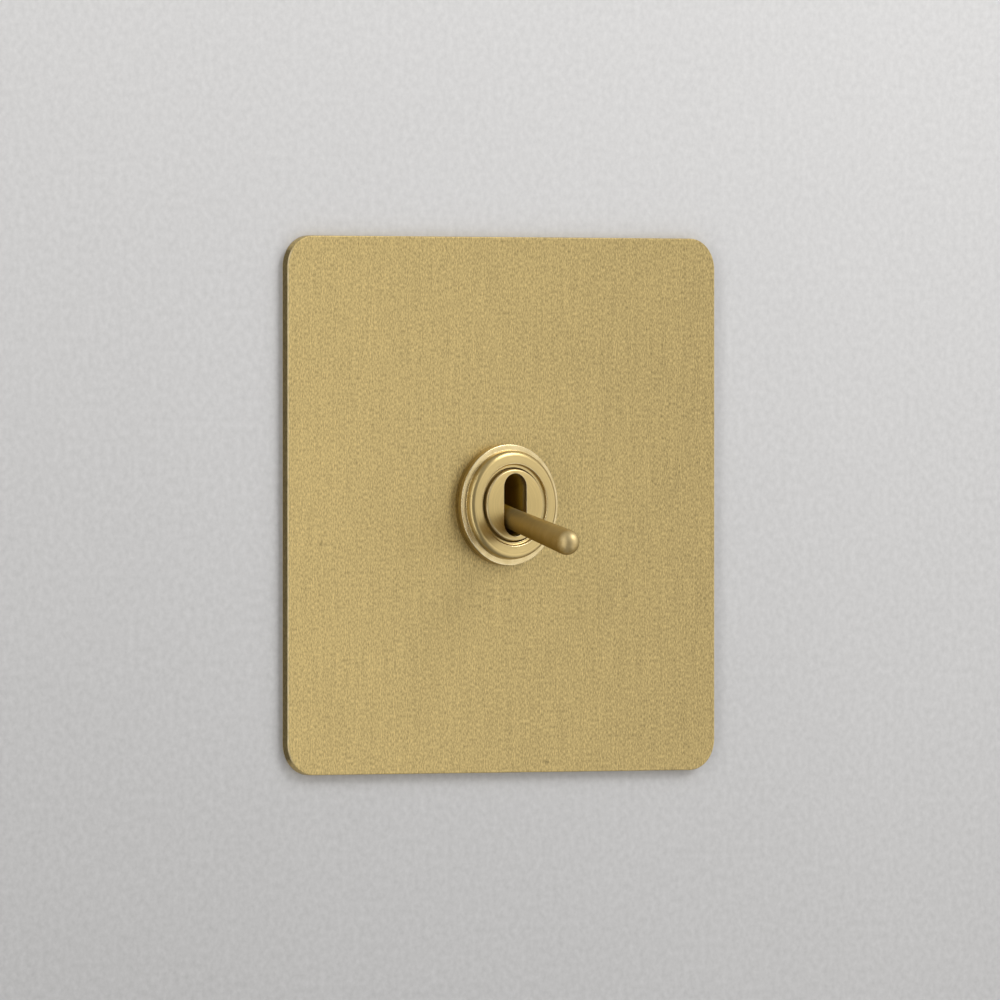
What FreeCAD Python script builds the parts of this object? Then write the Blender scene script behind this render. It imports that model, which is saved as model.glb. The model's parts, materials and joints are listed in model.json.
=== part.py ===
import FreeCAD, Part
import math
import os
import re
import Sketcher
from FreeCAD import Placement, Rotation, Vector

# Brass dolly switch on a square wall plate, in millimetres and degrees.
# X runs to the right, Y into the wall and Z up. The origin is the middle of the plate's back face,
# which lies on the wall. The dolly is down, its closed position.

SIZES = {
    # front plate
    "plate_side": 86.0,
    "plate_thick": 1.5,
    "plate_corner": 5.0,
    "plate_edge": 0.2,
    # fits: turned pieces in their holes, moulded pieces, the pivot and the plunger
    "snug": 0.03,
    "mould_gap": 0.15,
    "pivot_gap": 0.05,
    "slide_gap": 0.06,
    # ring nut around the dolly
    "ring_height": 3.1,
    "rim_height": 1.75,
    "rim_width": 0.95,
    "rim_bevel": 0.12,
    "quirk_height": 0.4,
    "band_width": 1.17,
    "eye_step": 0.47,
    "eye_depth": 0.5,
    "eye_chamfer": 0.15,
    # threaded bush
    "bush_dia": 12.0,
    "bush_rise": 0.15,
    "flat_depth": 0.6,
    "head_step": 0.25,
    "head_length": 0.8,
    "head_chamfer": 0.2,
    "neck_step": 0.3,
    "lip_width": 0.8,
    "lip_height": 0.7,
    "slot_width": 4.55,
    "slot_wall": 0.7,
    # dolly
    "throw": 14.3,
    "pivot_depth": 9.7,
    "dolly_reach": 26.0,
    "tip_dia": 4.1,
    "stem_dia": 3.45,
    "hub_dia": 6.2,
    "hub_gap": 0.15,
    "pin_dia": 2.0,
    "pin_sink": 0.2,
    "pin_chamfer": 0.2,
    "tail_step": 0.025,
    "bore_dia": 2.9,
    "bore_floor": 2.9,
    # plunger and its spring
    "plunger_reach": 11.2,
    "plunger_back": 4.6,
    "nose_show": 2.2,
    "cup_dia": 2.0,
    "cup_end": 8.8,
    "wire_dia": 0.3,
    "spring_gap": 0.1,
    "spring_pitch": 1.85,
    # nut and washer behind the plate
    "nut_room": 2.1,
    "nut_flats": 16.0,
    "nut_height": 2.5,
    "washer_dia": 17.5,
    "washer_thick": 0.5,
    "tooth_depth": 1.3,
    "tooth_width": 1.2,
    # yoke
    "yoke_thick": 1.2,
    "yoke_room": 0.8,
    "fold_depth": 4.2,
    "fold_length": 26.0,
    "fold_radius": 0.8,
    "ear_height": 24.0,
    "ear_corner": 4.0,
    "ear_margin": 1.6,
    "fixing_pitch": 60.3,
    "fixing_width": 4.0,
    "fixing_length": 6.5,
    # frame, case and base
    "frame_thick": 0.8,
    "frame_bend": 0.6,
    "leg_height": 7.0,
    "leg_root": 2.5,
    "tab_length": 1.4,
    "tab_gap": 0.6,
    "case_width": 18.0,
    "case_height": 36.0,
    "case_wall": 1.6,
    "case_corner": 1.0,
    "base_thick": 1.8,
    "spigot_height": 1.0,
    "base_margin": 0.3,
    "barrier_thick": 2.0,
    "barrier_gap": 0.4,
    "barrier_rise": 0.4,
    # rocking blade and contacts
    "tilt": 8.0,
    "blade_thick": 0.8,
    "blade_width": 4.0,
    "blade_margin": 0.1,
    "blade_round": 1.2,
    "trunnion_dia": 0.6,
    "rocker_front": 0.6,
    "trough_angle": 38.0,
    "nose_gap": 0.3,
    "contact_pitch": 7.0,
    "contact_dia": 2.8,
    "contact_height": 0.9,
    "contact_bevel": 0.3,
    "contact_gap": 0.2,
    "cradle_gap": 0.2,
    "cradle_height": 2.0,
    "cradle_side": 0.25,
    "cradle_ear": 1.2,
    "ear_thick": 0.6,
    # terminals
    "strap_thick": 0.8,
    "strap_width": 6.0,
    "strap_margin": 2.2,
    "leg_width": 5.0,
    "leg_thick": 1.2,
    "block_width": 8.0,
    "block_height": 8.0,
    "block_depth": 8.6,
    "cable_dia": 3.8,
    "cable_floor": 0.9,
    "screw_dia": 3.5,
    "screw_lift": 0.1,
    "screw_head_dia": 5.4,
    "screw_head_height": 1.7,
    "driver_width": 0.9,
    "driver_depth": 0.8,
    # earth terminal on the yoke
    "earth_offset": 18.5,
    "earth_floor": 2.2,
    "earth_depth": 9.9,
    "rivet_dia": 3.0,
    "rivet_sink": 1.2,
    "rivet_head_dia": 5.2,
    "rivet_head_height": 1.2,
    "rivet_bevel": 0.6,
}

LAYOUT = {
    # places along Y, from the front to the back
    "plate_front": "-plate_thick",
    "ring_top": "plate_front - ring_height",
    "rim_top": "plate_front - rim_height",
    "bush_face": "ring_top - bush_rise",
    "eye_back": "ring_top + eye_depth",
    "thread_start": "bush_face + head_length",
    "nut_back": "nut_room + nut_height",
    "washer_back": "nut_back + washer_thick",
    "yoke_back": "washer_back + yoke_thick",
    "frame_back": "yoke_back + frame_thick",
    "bush_back": "frame_back + lip_height",
    "pivot_y": "bush_face + pivot_depth",
    # radii
    "bush_radius": "bush_dia / 2",
    "bush_flat": "bush_radius - flat_depth",
    "head_radius": "bush_radius - head_step",
    "neck_radius": "bush_radius - neck_step",
    "lip_radius": "neck_radius + lip_width",
    "slot_radius": "slot_width / 2",
    "slot_end": "head_radius - slot_wall - slot_radius",
    "hole_radius": "bush_radius + snug",
    "hole_flat": "bush_flat + snug",
    "hole_corner": "sqrt(hole_radius ^ 2 - hole_flat ^ 2)",
    "eye_radius": "hole_radius + eye_step",
    "band_inner": "eye_radius + eye_chamfer",
    "band_outer": "band_inner + band_width",
    "ovolo_radius": "ring_height - rim_height - quirk_height",
    "ovolo_start": "band_outer + ovolo_radius",
    "ring_radius": "ovolo_start + rim_width",
    "tip_radius": "tip_dia / 2",
    "stem_radius": "stem_dia / 2",
    "hub_radius": "hub_dia / 2",
    "hub_half": "slot_radius - hub_gap",
    "tail_radius": "hub_half - tail_step",
    "tail_length": "plunger_reach - nose_show",
    "bore_radius": "bore_dia / 2",
    "nose_radius": "bore_radius - slide_gap",
    "cup_radius": "cup_dia / 2",
    "coil_radius": "cup_radius - spring_gap - wire_dia / 2",
    "pin_radius": "pin_dia / 2",
    "pin_half": "bush_flat - pin_sink",
    # the blade's trough follows the plunger's nose at one gap from the closed to the middle pose
    "fulcrum_reach": "plunger_reach + nose_gap + rocker_front",
    "fulcrum_y": "pivot_y + fulcrum_reach",
    "nose_centre": "plunger_reach - nose_radius",
    "nose_y": "nose_centre * cos(throw) - fulcrum_reach",
    "nose_z": "nose_centre * sin(throw)",
    "nose_across": "nose_y * cos(tilt) - nose_z * sin(tilt) + rocker_front",
    "nose_along": "nose_y * sin(tilt) + nose_z * cos(tilt)",
    "nose_room": "nose_radius + nose_gap",
    "trough_radius": "(nose_room ^ 2 - nose_across ^ 2 - nose_along ^ 2) / (2 * (nose_across + nose_room))",
    "trough_edge": "trough_radius * sin(trough_angle)",
    "arm_front": "trough_radius * cos(trough_angle) - trough_radius - rocker_front",
    "arm_back": "arm_front + blade_thick",
    "bulge_radius": "trough_radius + blade_thick",
    "bulge_edge": "sqrt(bulge_radius ^ 2 - (arm_back + rocker_front + trough_radius) ^ 2)",
    "blade_end": "contact_pitch + contact_dia / 2 + blade_margin",
    # the lower edge of a tilted contact meets the flat one of a strap in the closed pose
    "contact_radius": "contact_dia / 2",
    "contact_flat": "contact_radius - contact_bevel",
    "contact_back": "arm_back + contact_height",
    "contact_y": "(contact_pitch + contact_flat) * sin(tilt) + contact_back * cos(tilt) + contact_gap",
    "contact_z": "contact_pitch * cos(tilt) - contact_back * sin(tilt)",
    "strap_front": "fulcrum_y + contact_y + contact_height",
    "base_front": "strap_front + strap_thick",
    "base_back": "base_front + base_thick",
    "cradle_front": "fulcrum_y + blade_thick - rocker_front + cradle_gap",
    "cradle_half": "blade_width / 2 + cradle_side",
    "cradle_outer": "cradle_half + ear_thick",
    "trunnion_radius": "trunnion_dia / 2",
    # yoke, frame, case and base
    "case_half": "case_width / 2",
    "case_top": "case_height / 2",
    "frame_half": "case_half + frame_thick",
    "yoke_inside": "case_top + yoke_room",
    "yoke_top": "yoke_inside + yoke_thick",
    "yoke_tip": "(fixing_pitch + fixing_length) / 2 + ear_margin",
    "barrier_half": "case_half - tab_length - tab_gap",
    "barrier_outer": "case_top - base_margin - barrier_thick",
    "terminal_pitch": "barrier_outer - barrier_gap - block_height / 2",
    "barrier_inner": "block_height / 2 + barrier_gap",
    "barrier_high": "terminal_pitch - block_height / 2 - barrier_gap",
    "leg_low": "(terminal_pitch - leg_height) / 2",
    "leg_high": "(terminal_pitch + leg_height) / 2",
    # terminals
    "block_back": "base_back + block_depth",
    "barrier_back": "block_back + barrier_rise",
    "cable_radius": "cable_dia / 2",
    "screw_radius": "screw_dia / 2",
    "screw_head_radius": "screw_head_dia / 2",
    "rivet_radius": "rivet_dia / 2",
    "rivet_head_radius": "rivet_head_dia / 2",
}

WASHER_TEETH = 10
SMALL = 1e-6

doc = FreeCAD.newDocument("dolly_switch")
HOME = {**{name: "sizes." for name in SIZES}, **{name: "layout." for name in LAYOUT}}


def bound(expression):
    """The expression with every named size spelt as a cell of its sheet."""
    return re.sub(r"[a-z]\w*", lambda word: HOME.get(word[0], "") + word[0], expression)


def make_sheet(name, cells):
    sheet = doc.addObject("Spreadsheet::Sheet", name)
    for row, (alias, content) in enumerate(cells.items(), 1):
        sheet.set(f"A{row}", alias)
        sheet.set(f"B{row}", content)
        sheet.setAlias(f"B{row}", alias)
    doc.recompute()
    return sheet


make_sheet("sizes", {name: str(number) for name, number in SIZES.items()})
layout = make_sheet("layout", {name: "=" + bound(formula) for name, formula in LAYOUT.items()})


def value(expression):
    return float(layout.evalExpression(bound(expression)))


def place(piece, at=("0", "0", "0"), axis=None, angle="0"):
    """Put a piece at a point, turned about an axis."""
    if axis:
        piece.Placement = Placement(Vector(), Rotation(axis, value(angle)))
        piece.setExpression("Placement.Rotation.Angle", bound(angle))
    for letter, expression in zip("xyz", at):
        piece.setExpression("Placement.Base." + letter, bound(expression))
    return piece


X, Y, Z = Vector(1, 0, 0), Vector(0, 1, 0), Vector(0, 0, 1)
IN_DOLLY = {"at": ("0", "pivot_y", "0"), "axis": X, "angle": "throw"}
IN_BLADE = {"at": ("0", "fulcrum_y", "0"), "axis": X, "angle": "-tilt"}


def new_body(label, **where):
    body = doc.addObject("PartDesign::Body", label)
    if where:
        place(body, **where)
    return body


def new_sketch(body, role, offset="0"):
    """A sketch on one of the body's own planes, moved along the plane's normal."""
    sketch = body.newObject("Sketcher::SketchObject", body.Label + "_sketch")
    plane = next(item for item in body.Origin.OriginFeatures if item.Role == role)
    sketch.AttachmentSupport = (plane, [""])
    sketch.MapMode = "FlatFace"
    sketch.setExpression("AttachmentOffset.Base.z", bound(offset))
    return sketch


def tie(sketch, constraint, expression):
    index = sketch.addConstraint(constraint)
    sketch.setExpression(f"Constraints[{index}]", bound(expression))


def pin_point(sketch, edge, end, x, y):
    """Hold a point of an edge at its two distances from the sketch's origin."""
    tie(sketch, Sketcher.Constraint("DistanceX", -1, 1, edge, end, value(x)), x)
    tie(sketch, Sketcher.Constraint("DistanceY", -1, 1, edge, end, value(y)), y)


def arc_between(start, end, radius, turn):
    middle = (start + end) * 0.5
    half = (end - start) * 0.5
    normal = Vector(-half.y, half.x, 0).normalize()
    centre = middle + normal * (turn * max(radius**2 - half.Length**2, 0) ** 0.5)
    angles = [(point - centre).getAngle(X) for point in (start, end)]
    angles = [a if point.y >= centre.y else -a for a, point in zip(angles, (start, end))]
    if turn < 0:
        angles.reverse()
    return Part.ArcOfCircle(Part.Circle(centre, Z, radius), angles[0], angles[1])


def outline(sketch, corners):
    """A closed outline. A corner is (x, y), or (x, y, radius, turn) where an arc leads to it,
    anticlockwise for a turn of 1 and clockwise for a turn of -1."""
    first = sketch.GeometryCount
    count = len(corners)
    points = [Vector(value(corner[0]), value(corner[1]), 0) for corner in corners]
    ends = []
    for number, corner in enumerate(corners):
        start, end = points[number - 1], points[number]
        if len(corner) == 2:
            sketch.addGeometry(Part.LineSegment(start, end))
            ends.append((1, 2))
        else:
            sketch.addGeometry(arc_between(start, end, value(corner[2]), corner[3]))
            ends.append((1, 2) if corner[3] > 0 else (2, 1))
    for number, corner in enumerate(corners):
        edge, after = first + number, (number + 1) % count
        joint = (edge, ends[number][1], first + after, ends[after][0])
        sketch.addConstraint(Sketcher.Constraint("Coincident", *joint))
        pin_point(sketch, edge, ends[number][1], corner[0], corner[1])
        if len(corner) > 2:
            tie(sketch, Sketcher.Constraint("Radius", edge, value(corner[2])), corner[2])
    return sketch


def box_outline(sketch, left, right, low, high):
    return outline(sketch, [(right, low), (right, high), (left, high), (left, low)])


def circle(sketch, x, y, radius):
    edge = sketch.addGeometry(Part.Circle(Vector(value(x), value(y), 0), Z, value(radius)))
    pin_point(sketch, edge, 3, x, y)
    tie(sketch, Sketcher.Constraint("Radius", edge, value(radius)), radius)
    return sketch


def stadium(sketch, start, end, radius):
    """A slot with round ends around the two points, start being left of or below end."""
    low = Vector(value(start[0]), value(start[1]), 0)
    high = Vector(value(end[0]), value(end[1]), 0)
    size = value(radius)
    along = (high - low).normalize()
    side = Vector(along.y, -along.x, 0)
    lean = side.getAngle(X) if side.y >= 0 else -side.getAngle(X)
    half_turn = math.pi
    first = sketch.GeometryCount
    sketch.addGeometry(Part.LineSegment(low + side * size, high + side * size))
    sketch.addGeometry(Part.ArcOfCircle(Part.Circle(high, Z, size), lean, lean + half_turn))
    sketch.addGeometry(Part.LineSegment(high - side * size, low - side * size))
    sketch.addGeometry(Part.ArcOfCircle(Part.Circle(low, Z, size), lean - half_turn, lean))
    for number in range(4):
        joint = (first + number, 2, first + (number + 1) % 4, 1)
        sketch.addConstraint(Sketcher.Constraint("Tangent", *joint))
    pin_point(sketch, first + 1, 3, *end)
    pin_point(sketch, first + 3, 3, *start)
    sketch.addConstraint(Sketcher.Constraint("Equal", first + 1, first + 3))
    tie(sketch, Sketcher.Constraint("Radius", first + 1, size), radius)
    return sketch


def feature(body, kind, sketch, length=None, both_ways=False, reverse=False):
    """Add a pad, pocket or revolution to a body. Without a length a pocket goes through everything."""
    step = body.newObject("PartDesign::" + kind, body.Label + "_" + kind.lower())
    step.Profile = sketch
    if kind == "Revolution":
        step.ReferenceAxis = (sketch, ["V_Axis"])
        step.Angle = 360
    elif length is None:
        step.Type = "ThroughAll"
    else:
        step.setExpression("Length", bound(length))
    if kind != "Revolution":
        step.Midplane = both_ways
        step.Reversed = reverse
    sketch.Visibility = False
    doc.recompute()
    return step


def slab(body, draw, front, back):
    """Material from one distance into the wall to another."""
    sketch = new_sketch(body, "XZ_Plane", f"-({front})")
    draw(sketch)
    return feature(body, "Pad", sketch, f"{back} - ({front})", reverse=True)


def cut(body, draw, front, back=None):
    """A cut from one distance into the wall to another, or through all that lies behind."""
    sketch = new_sketch(body, "XZ_Plane", f"-({front})")
    draw(sketch)
    return feature(body, "Pocket", sketch, back and f"{back} - ({front})")


def cut_across(body, draw, role="YZ_Plane"):
    """A cut right through the body along the normal of one of its planes."""
    sketch = new_sketch(body, role)
    draw(sketch)
    return feature(body, "Pocket", sketch, both_ways=True)


def turned(label, corners, **where):
    """A body turned about its own Y axis. Corners are a radius and a place along the axis."""
    body = new_body(label, **where)
    feature(body, "Revolution", outline(new_sketch(body, "XY_Plane"), corners))
    return body


def soften(body, kind, size, chosen):
    """Round or bevel the edges of the body's last step that the test picks."""
    last = body.Tip
    step = body.newObject("PartDesign::" + kind, body.Label + "_" + kind.lower())
    step.Base = (last, [f"Edge{n}" for n, edge in enumerate(last.Shape.Edges, 1) if chosen(edge)])
    step.setExpression("Radius" if kind == "Fillet" else "Size", bound(size))
    doc.recompute()
    return step


def runs_along(edge, letter):
    box = edge.BoundBox
    lengths = {"x": box.XLength, "y": box.YLength, "z": box.ZLength}
    return lengths.pop(letter) > SMALL and max(lengths.values()) < SMALL


def lies_at(edge, y):
    """Whether an edge reaches no further back than a place along Y."""
    return abs(edge.BoundBox.YMax - y) < SMALL


def solid(kind, label, at, turn=None, **sizes):
    """One Part primitive with its sizes tied to the sheets. A turn is an axis and an angle."""
    piece = doc.addObject("Part::" + kind, label)
    for name, expression in sizes.items():
        piece.setExpression(name, bound(expression))
    if turn:
        place(piece, at, *turn)
    else:
        place(piece, at)
    return piece


def box(label, left, right, front, back, low, high):
    spans = {
        "Length": f"{right} - ({left})",
        "Width": f"{back} - ({front})",
        "Height": f"{high} - ({low})",
    }
    return solid("Box", label, (left, front, low), **spans)


def fuse(label, pieces):
    whole = doc.addObject("Part::MultiFuse", label)
    whole.Shapes = pieces
    whole.Refine = True
    return whole


def subtract(label, base, tools):
    whole = doc.addObject("Part::Cut", label)
    whole.Base = base
    whole.Tool = tools[0] if len(tools) == 1 else fuse(label + "_tools", tools)
    return whole


def group(label, pieces):
    whole = doc.addObject("Part::Compound", label)
    whole.Links = pieces
    return whole


def keyed_hole(sketch):
    """The bush's round hole with its two flats."""
    corners = [
        ("hole_flat", "-hole_corner"),
        ("hole_flat", "hole_corner"),
        ("-hole_flat", "hole_corner", "hole_radius", 1),
        ("-hole_flat", "-hole_corner"),
    ]
    corners[0] += ("hole_radius", 1)
    outline(sketch, corners)


# front plate
plate = new_body("front_plate")
half = "plate_side / 2"
slab(plate, lambda s: box_outline(s, "-" + half, half, "-" + half, half), "plate_front", "0")
soften(plate, "Fillet", "plate_corner", lambda edge: runs_along(edge, "y"))
soften(plate, "Chamfer", "plate_edge", lambda edge: lies_at(edge, value("plate_front")))
cut(plate, keyed_hole, "plate_front")

# ring nut: flat rim, quirk and ovolo around a sunk eye
turned(
    "dolly_ring",
    [
        ("hole_radius", "plate_front"),
        ("ring_radius", "plate_front"),
        ("ring_radius", "rim_top + rim_bevel"),
        ("ring_radius - rim_bevel", "rim_top"),
        ("ovolo_start", "rim_top"),
        ("ovolo_start", "rim_top - quirk_height"),
        ("band_outer", "ring_top", "ovolo_radius", -1),
        ("band_inner", "ring_top"),
        ("eye_radius", "ring_top + eye_chamfer"),
        ("eye_radius", "eye_back"),
        ("hole_radius", "eye_back"),
    ],
)

# bush: round head, keyed barrel, neck through the frame and a lip turned over behind it
bush = turned(
    "switch_bush",
    [
        ("0", "bush_face"),
        ("head_radius - head_chamfer", "bush_face"),
        ("head_radius", "bush_face + head_chamfer"),
        ("head_radius", "thread_start"),
        ("bush_radius", "thread_start + head_step"),
        ("bush_radius", "yoke_back"),
        ("neck_radius", "yoke_back"),
        ("neck_radius", "frame_back"),
        ("lip_radius", "frame_back"),
        ("lip_radius", "bush_back"),
        ("0", "bush_back"),
    ],
)
for left, right in (("bush_flat", "bush_dia"), ("-bush_dia", "-bush_flat")):
    flat = [left, right, "-bush_radius", "bush_radius"]
    cut(bush, lambda s: box_outline(s, *flat), "thread_start", "yoke_back")
cut(bush, lambda s: stadium(s, ("0", "-slot_end"), ("0", "slot_end"), "slot_radius"), "bush_face")
cut_across(bush, lambda s: circle(s, "pivot_y", "0", "pin_radius + snug"))

# dolly: round tip, stem that thins towards the slot, hub on the pin and a hollow tail
dolly = turned(
    "dolly",
    [
        ("0", "-dolly_reach"),
        ("tip_radius", "tip_radius - dolly_reach", "tip_radius", 1),
        ("stem_radius", "-pivot_depth"),
        ("stem_radius", "0"),
        ("tail_radius", "0"),
        ("tail_radius", "tail_length"),
        ("0", "tail_length"),
    ],
    **IN_DOLLY,
)
hub = circle(new_sketch(dolly, "YZ_Plane"), "0", "0", "hub_radius")
feature(dolly, "Pad", hub, "2 * hub_half", both_ways=True)
cut(dolly, lambda s: circle(s, "0", "0", "bore_radius"), "bore_floor")
cut_across(dolly, lambda s: circle(s, "0", "0", "pin_radius + pivot_gap"))

turned(
    "pivot_pin",
    [
        ("0", "-pin_half"),
        ("pin_radius - pin_chamfer", "-pin_half"),
        ("pin_radius", "pin_chamfer - pin_half"),
        ("pin_radius", "pin_half - pin_chamfer"),
        ("pin_radius - pin_chamfer", "pin_half"),
        ("0", "pin_half"),
    ],
    at=("0", "pivot_y", "0"),
    axis=Z,
    angle="90",
)

# plunger: a cup with a round nose, and the coil spring inside it
turned(
    "plunger",
    [
        ("cup_radius", "plunger_back"),
        ("nose_radius", "plunger_back"),
        ("nose_radius", "nose_centre"),
        ("0", "plunger_reach", "nose_radius", 1),
        ("0", "cup_end"),
        ("cup_radius", "cup_end"),
    ],
    **IN_DOLLY,
)
coil = doc.addObject("Part::Helix", "spring_path")
coil.setExpression("Radius", bound("coil_radius"))
coil.setExpression("Pitch", bound("spring_pitch"))
coil.setExpression("Height", bound("cup_end - bore_floor - wire_dia - 2 * snug"))
place(coil, ("0", "0", "bore_floor + wire_dia / 2 + snug"))
wire = solid(
    "RegularPolygon",
    "spring_wire",
    ("coil_radius", "0", "bore_floor + wire_dia / 2 + snug"),
    (X, "90"),
    Circumradius="wire_dia / 2",
)
spring = doc.addObject("Part::Sweep", "plunger_spring")
spring.Sections = [wire]
spring.Spine = (coil, [])
spring.Solid = True
spring.Frenet = True
place(spring, ("0", "pivot_y", "0"), X, "throw - 90")

# hexagon nut, and the toothed washer under it
prism = solid(
    "Prism",
    "nut_prism",
    ("0", "nut_room", "0"),
    (X, "-90"),
    Circumradius="nut_flats / sqrt(3)",
    Height="nut_height",
)
bore = {"Radius": "hole_radius", "Height": "nut_height"}
tapping = solid("Cylinder", "nut_tapping", ("0", "nut_room", "0"), (X, "-90"), **bore)
subtract("fixing_nut", prism, [tapping])

washer = new_body("lock_washer")


def washer_ring(sketch):
    circle(sketch, "0", "0", "washer_dia / 2")
    circle(sketch, "0", "0", "hole_radius")


slab(washer, washer_ring, "nut_back", "washer_back")
gap = ["-tooth_width / 2", "tooth_width / 2", "hole_radius / 2", "hole_radius + tooth_depth"]
notch = cut(washer, lambda s: box_outline(s, *gap), "nut_back")
teeth = washer.newObject("PartDesign::PolarPattern", "washer_teeth")
teeth.Originals = [notch]
teeth.Axis = (notch.Profile[0], ["N_Axis"])
teeth.Angle = 360
teeth.Occurrences = WASHER_TEETH
washer.Tip = teeth
doc.recompute()

# yoke: a folded channel behind the case and two flat ears with the fixing slots
yoke = new_body("yoke")
fold_back, bend = "washer_back + fold_depth", "fold_radius + yoke_thick"
profile = outline(
    new_sketch(yoke, "YZ_Plane"),
    [
        ("washer_back", f"-yoke_top + {bend}"),
        (f"washer_back + {bend}", "-yoke_top", bend, 1),
        (fold_back, "-yoke_top"),
        (fold_back, "-yoke_inside"),
        ("yoke_back + fold_radius", "-yoke_inside"),
        ("yoke_back", "-yoke_inside + fold_radius", "fold_radius", -1),
        ("yoke_back", "yoke_inside - fold_radius"),
        ("yoke_back + fold_radius", "yoke_inside", "fold_radius", -1),
        (fold_back, "yoke_inside"),
        (fold_back, "yoke_top"),
        (f"washer_back + {bend}", "yoke_top"),
        ("washer_back", f"yoke_top - ({bend})", bend, 1),
    ],
)
feature(yoke, "Pad", profile, "fold_length", both_ways=True)
ears = ["-yoke_tip", "yoke_tip", "-ear_height / 2", "ear_height / 2"]
slab(yoke, lambda s: box_outline(s, *ears), "washer_back", "yoke_back")


def at_ear_tip(edge):
    return runs_along(edge, "y") and abs(edge.BoundBox.XMax) > value("yoke_tip") - SMALL


soften(yoke, "Fillet", "ear_corner", at_ear_tip)
cut(yoke, keyed_hole, "washer_back")
for sign in ("", "-"):
    shift = "(fixing_length - fixing_width) / 2"
    start = (f"{sign}fixing_pitch / 2 - {shift}", "0")
    end = (f"{sign}fixing_pitch / 2 + {shift}", "0")
    cut(yoke, lambda s: stadium(s, start, end, "fixing_width / 2"), "washer_back")

# frame folded around the case, its four legs crimped behind the base
frame = new_body("case_frame")
turn, tab_back = "frame_bend + frame_thick", "base_back + frame_thick"
profile = outline(
    new_sketch(frame, "XY_Plane"),
    [
        (f"frame_half - ({turn})", "yoke_back"),
        ("frame_half", f"yoke_back + {turn}", turn, 1),
        ("frame_half", tab_back),
        ("case_half - tab_length", tab_back),
        ("case_half - tab_length", "base_back"),
        ("case_half", "base_back"),
        ("case_half", "frame_back + frame_bend"),
        ("case_half - frame_bend", "frame_back", "frame_bend", -1),
        ("frame_bend - case_half", "frame_back"),
        ("-case_half", "frame_back + frame_bend", "frame_bend", -1),
        ("-case_half", "base_back"),
        ("tab_length - case_half", "base_back"),
        ("tab_length - case_half", tab_back),
        ("-frame_half", tab_back),
        ("-frame_half", f"yoke_back + {turn}"),
        (f"-frame_half + {turn}", "yoke_back", turn, 1),
    ],
)
feature(frame, "Pad", profile, "case_height", both_ways=True)
root, beyond = "frame_back + leg_root", "base_back + 2 * frame_thick"
for low, high in (("leg_high", "case_height"), ("-leg_low", "leg_low"), ("-case_height", "-leg_high")):
    cut_across(frame, lambda s: box_outline(s, root, beyond, low, high))
cut(frame, lambda s: circle(s, "0", "0", "neck_radius + snug"), "yoke_back")

# moulded case: a box open at the back, its front wall cleared for the bush and the dolly
case = new_body("switch_case")
walls = ["-case_half", "case_half", "-case_top", "case_top"]
slab(case, lambda s: box_outline(s, *walls), "frame_back", "base_front")
soften(case, "Fillet", "case_corner", lambda edge: runs_along(edge, "y"))
room = ["case_wall - case_half", "case_half - case_wall", "case_wall - case_top", "case_top - case_wall"]
cut(case, lambda s: box_outline(s, *room), "frame_back")


def in_frame_bend(edge):
    """The two long front edges that lie in the bends of the frame."""
    outside = abs(edge.BoundBox.XMax) > value("case_half") - SMALL
    return outside and runs_along(edge, "z") and lies_at(edge, value("frame_back"))


soften(case, "Chamfer", "frame_bend", in_frame_bend)

# base: plate, spigot in the case, barriers between the terminals and slots for their legs
base = new_body("terminal_base")
slab(base, lambda s: box_outline(s, *walls), "base_front", "base_back")
soften(base, "Fillet", "case_corner", lambda edge: runs_along(edge, "y"))


def base_rim(sketch):
    """The spigot's outline and the same one, a wall's thickness further in."""
    for inset in ("case_wall + mould_gap", "2 * case_wall + mould_gap"):
        right, high = f"case_half - ({inset})", f"case_top - ({inset})"
        box_outline(sketch, f"-({right})", right, f"-({high})", high)


slab(base, base_rim, "base_front - spigot_height", "base_front")
for near, far in (("barrier_inner", "barrier_high"), ("barrier_outer", "barrier_outer + barrier_thick")):
    for low, high in ((near, far), (f"-({far})", f"-({near})")):
        fin = ["-barrier_half", "barrier_half", low, high]
        slab(base, lambda s: box_outline(s, *fin), "base_back", "barrier_back")
side, thick = "leg_width / 2 + mould_gap", "leg_thick / 2 + mould_gap"
for middle in ("terminal_pitch", "0", "-terminal_pitch"):
    hole = [f"-({side})", side, f"{middle} - ({thick})", f"{middle} + {thick}"]
    cut(base, lambda s: box_outline(s, *hole), "base_front - spigot_height", "base_back")

# rocking blade: two flat arms and the trough that the plunger's nose works in
blade = new_body("rocker_contact", **IN_BLADE)
profile = outline(
    new_sketch(blade, "YZ_Plane"),
    [
        ("arm_front", "blade_end"),
        ("arm_front", "trough_edge"),
        ("arm_front", "-trough_edge", "trough_radius", -1),
        ("arm_front", "-blade_end"),
        ("arm_back", "-blade_end"),
        ("arm_back", "-bulge_edge"),
        ("arm_back", "bulge_edge", "bulge_radius", 1),
        ("arm_back", "blade_end"),
    ],
)
feature(blade, "Pad", profile, "blade_width", both_ways=True)
soften(blade, "Fillet", "blade_round", lambda edge: runs_along(edge, "y"))
trunnions = circle(new_sketch(blade, "YZ_Plane"), "0", "0", "trunnion_radius")
feature(blade, "Pad", trunnions, "2 * cradle_outer", both_ways=True)

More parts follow.
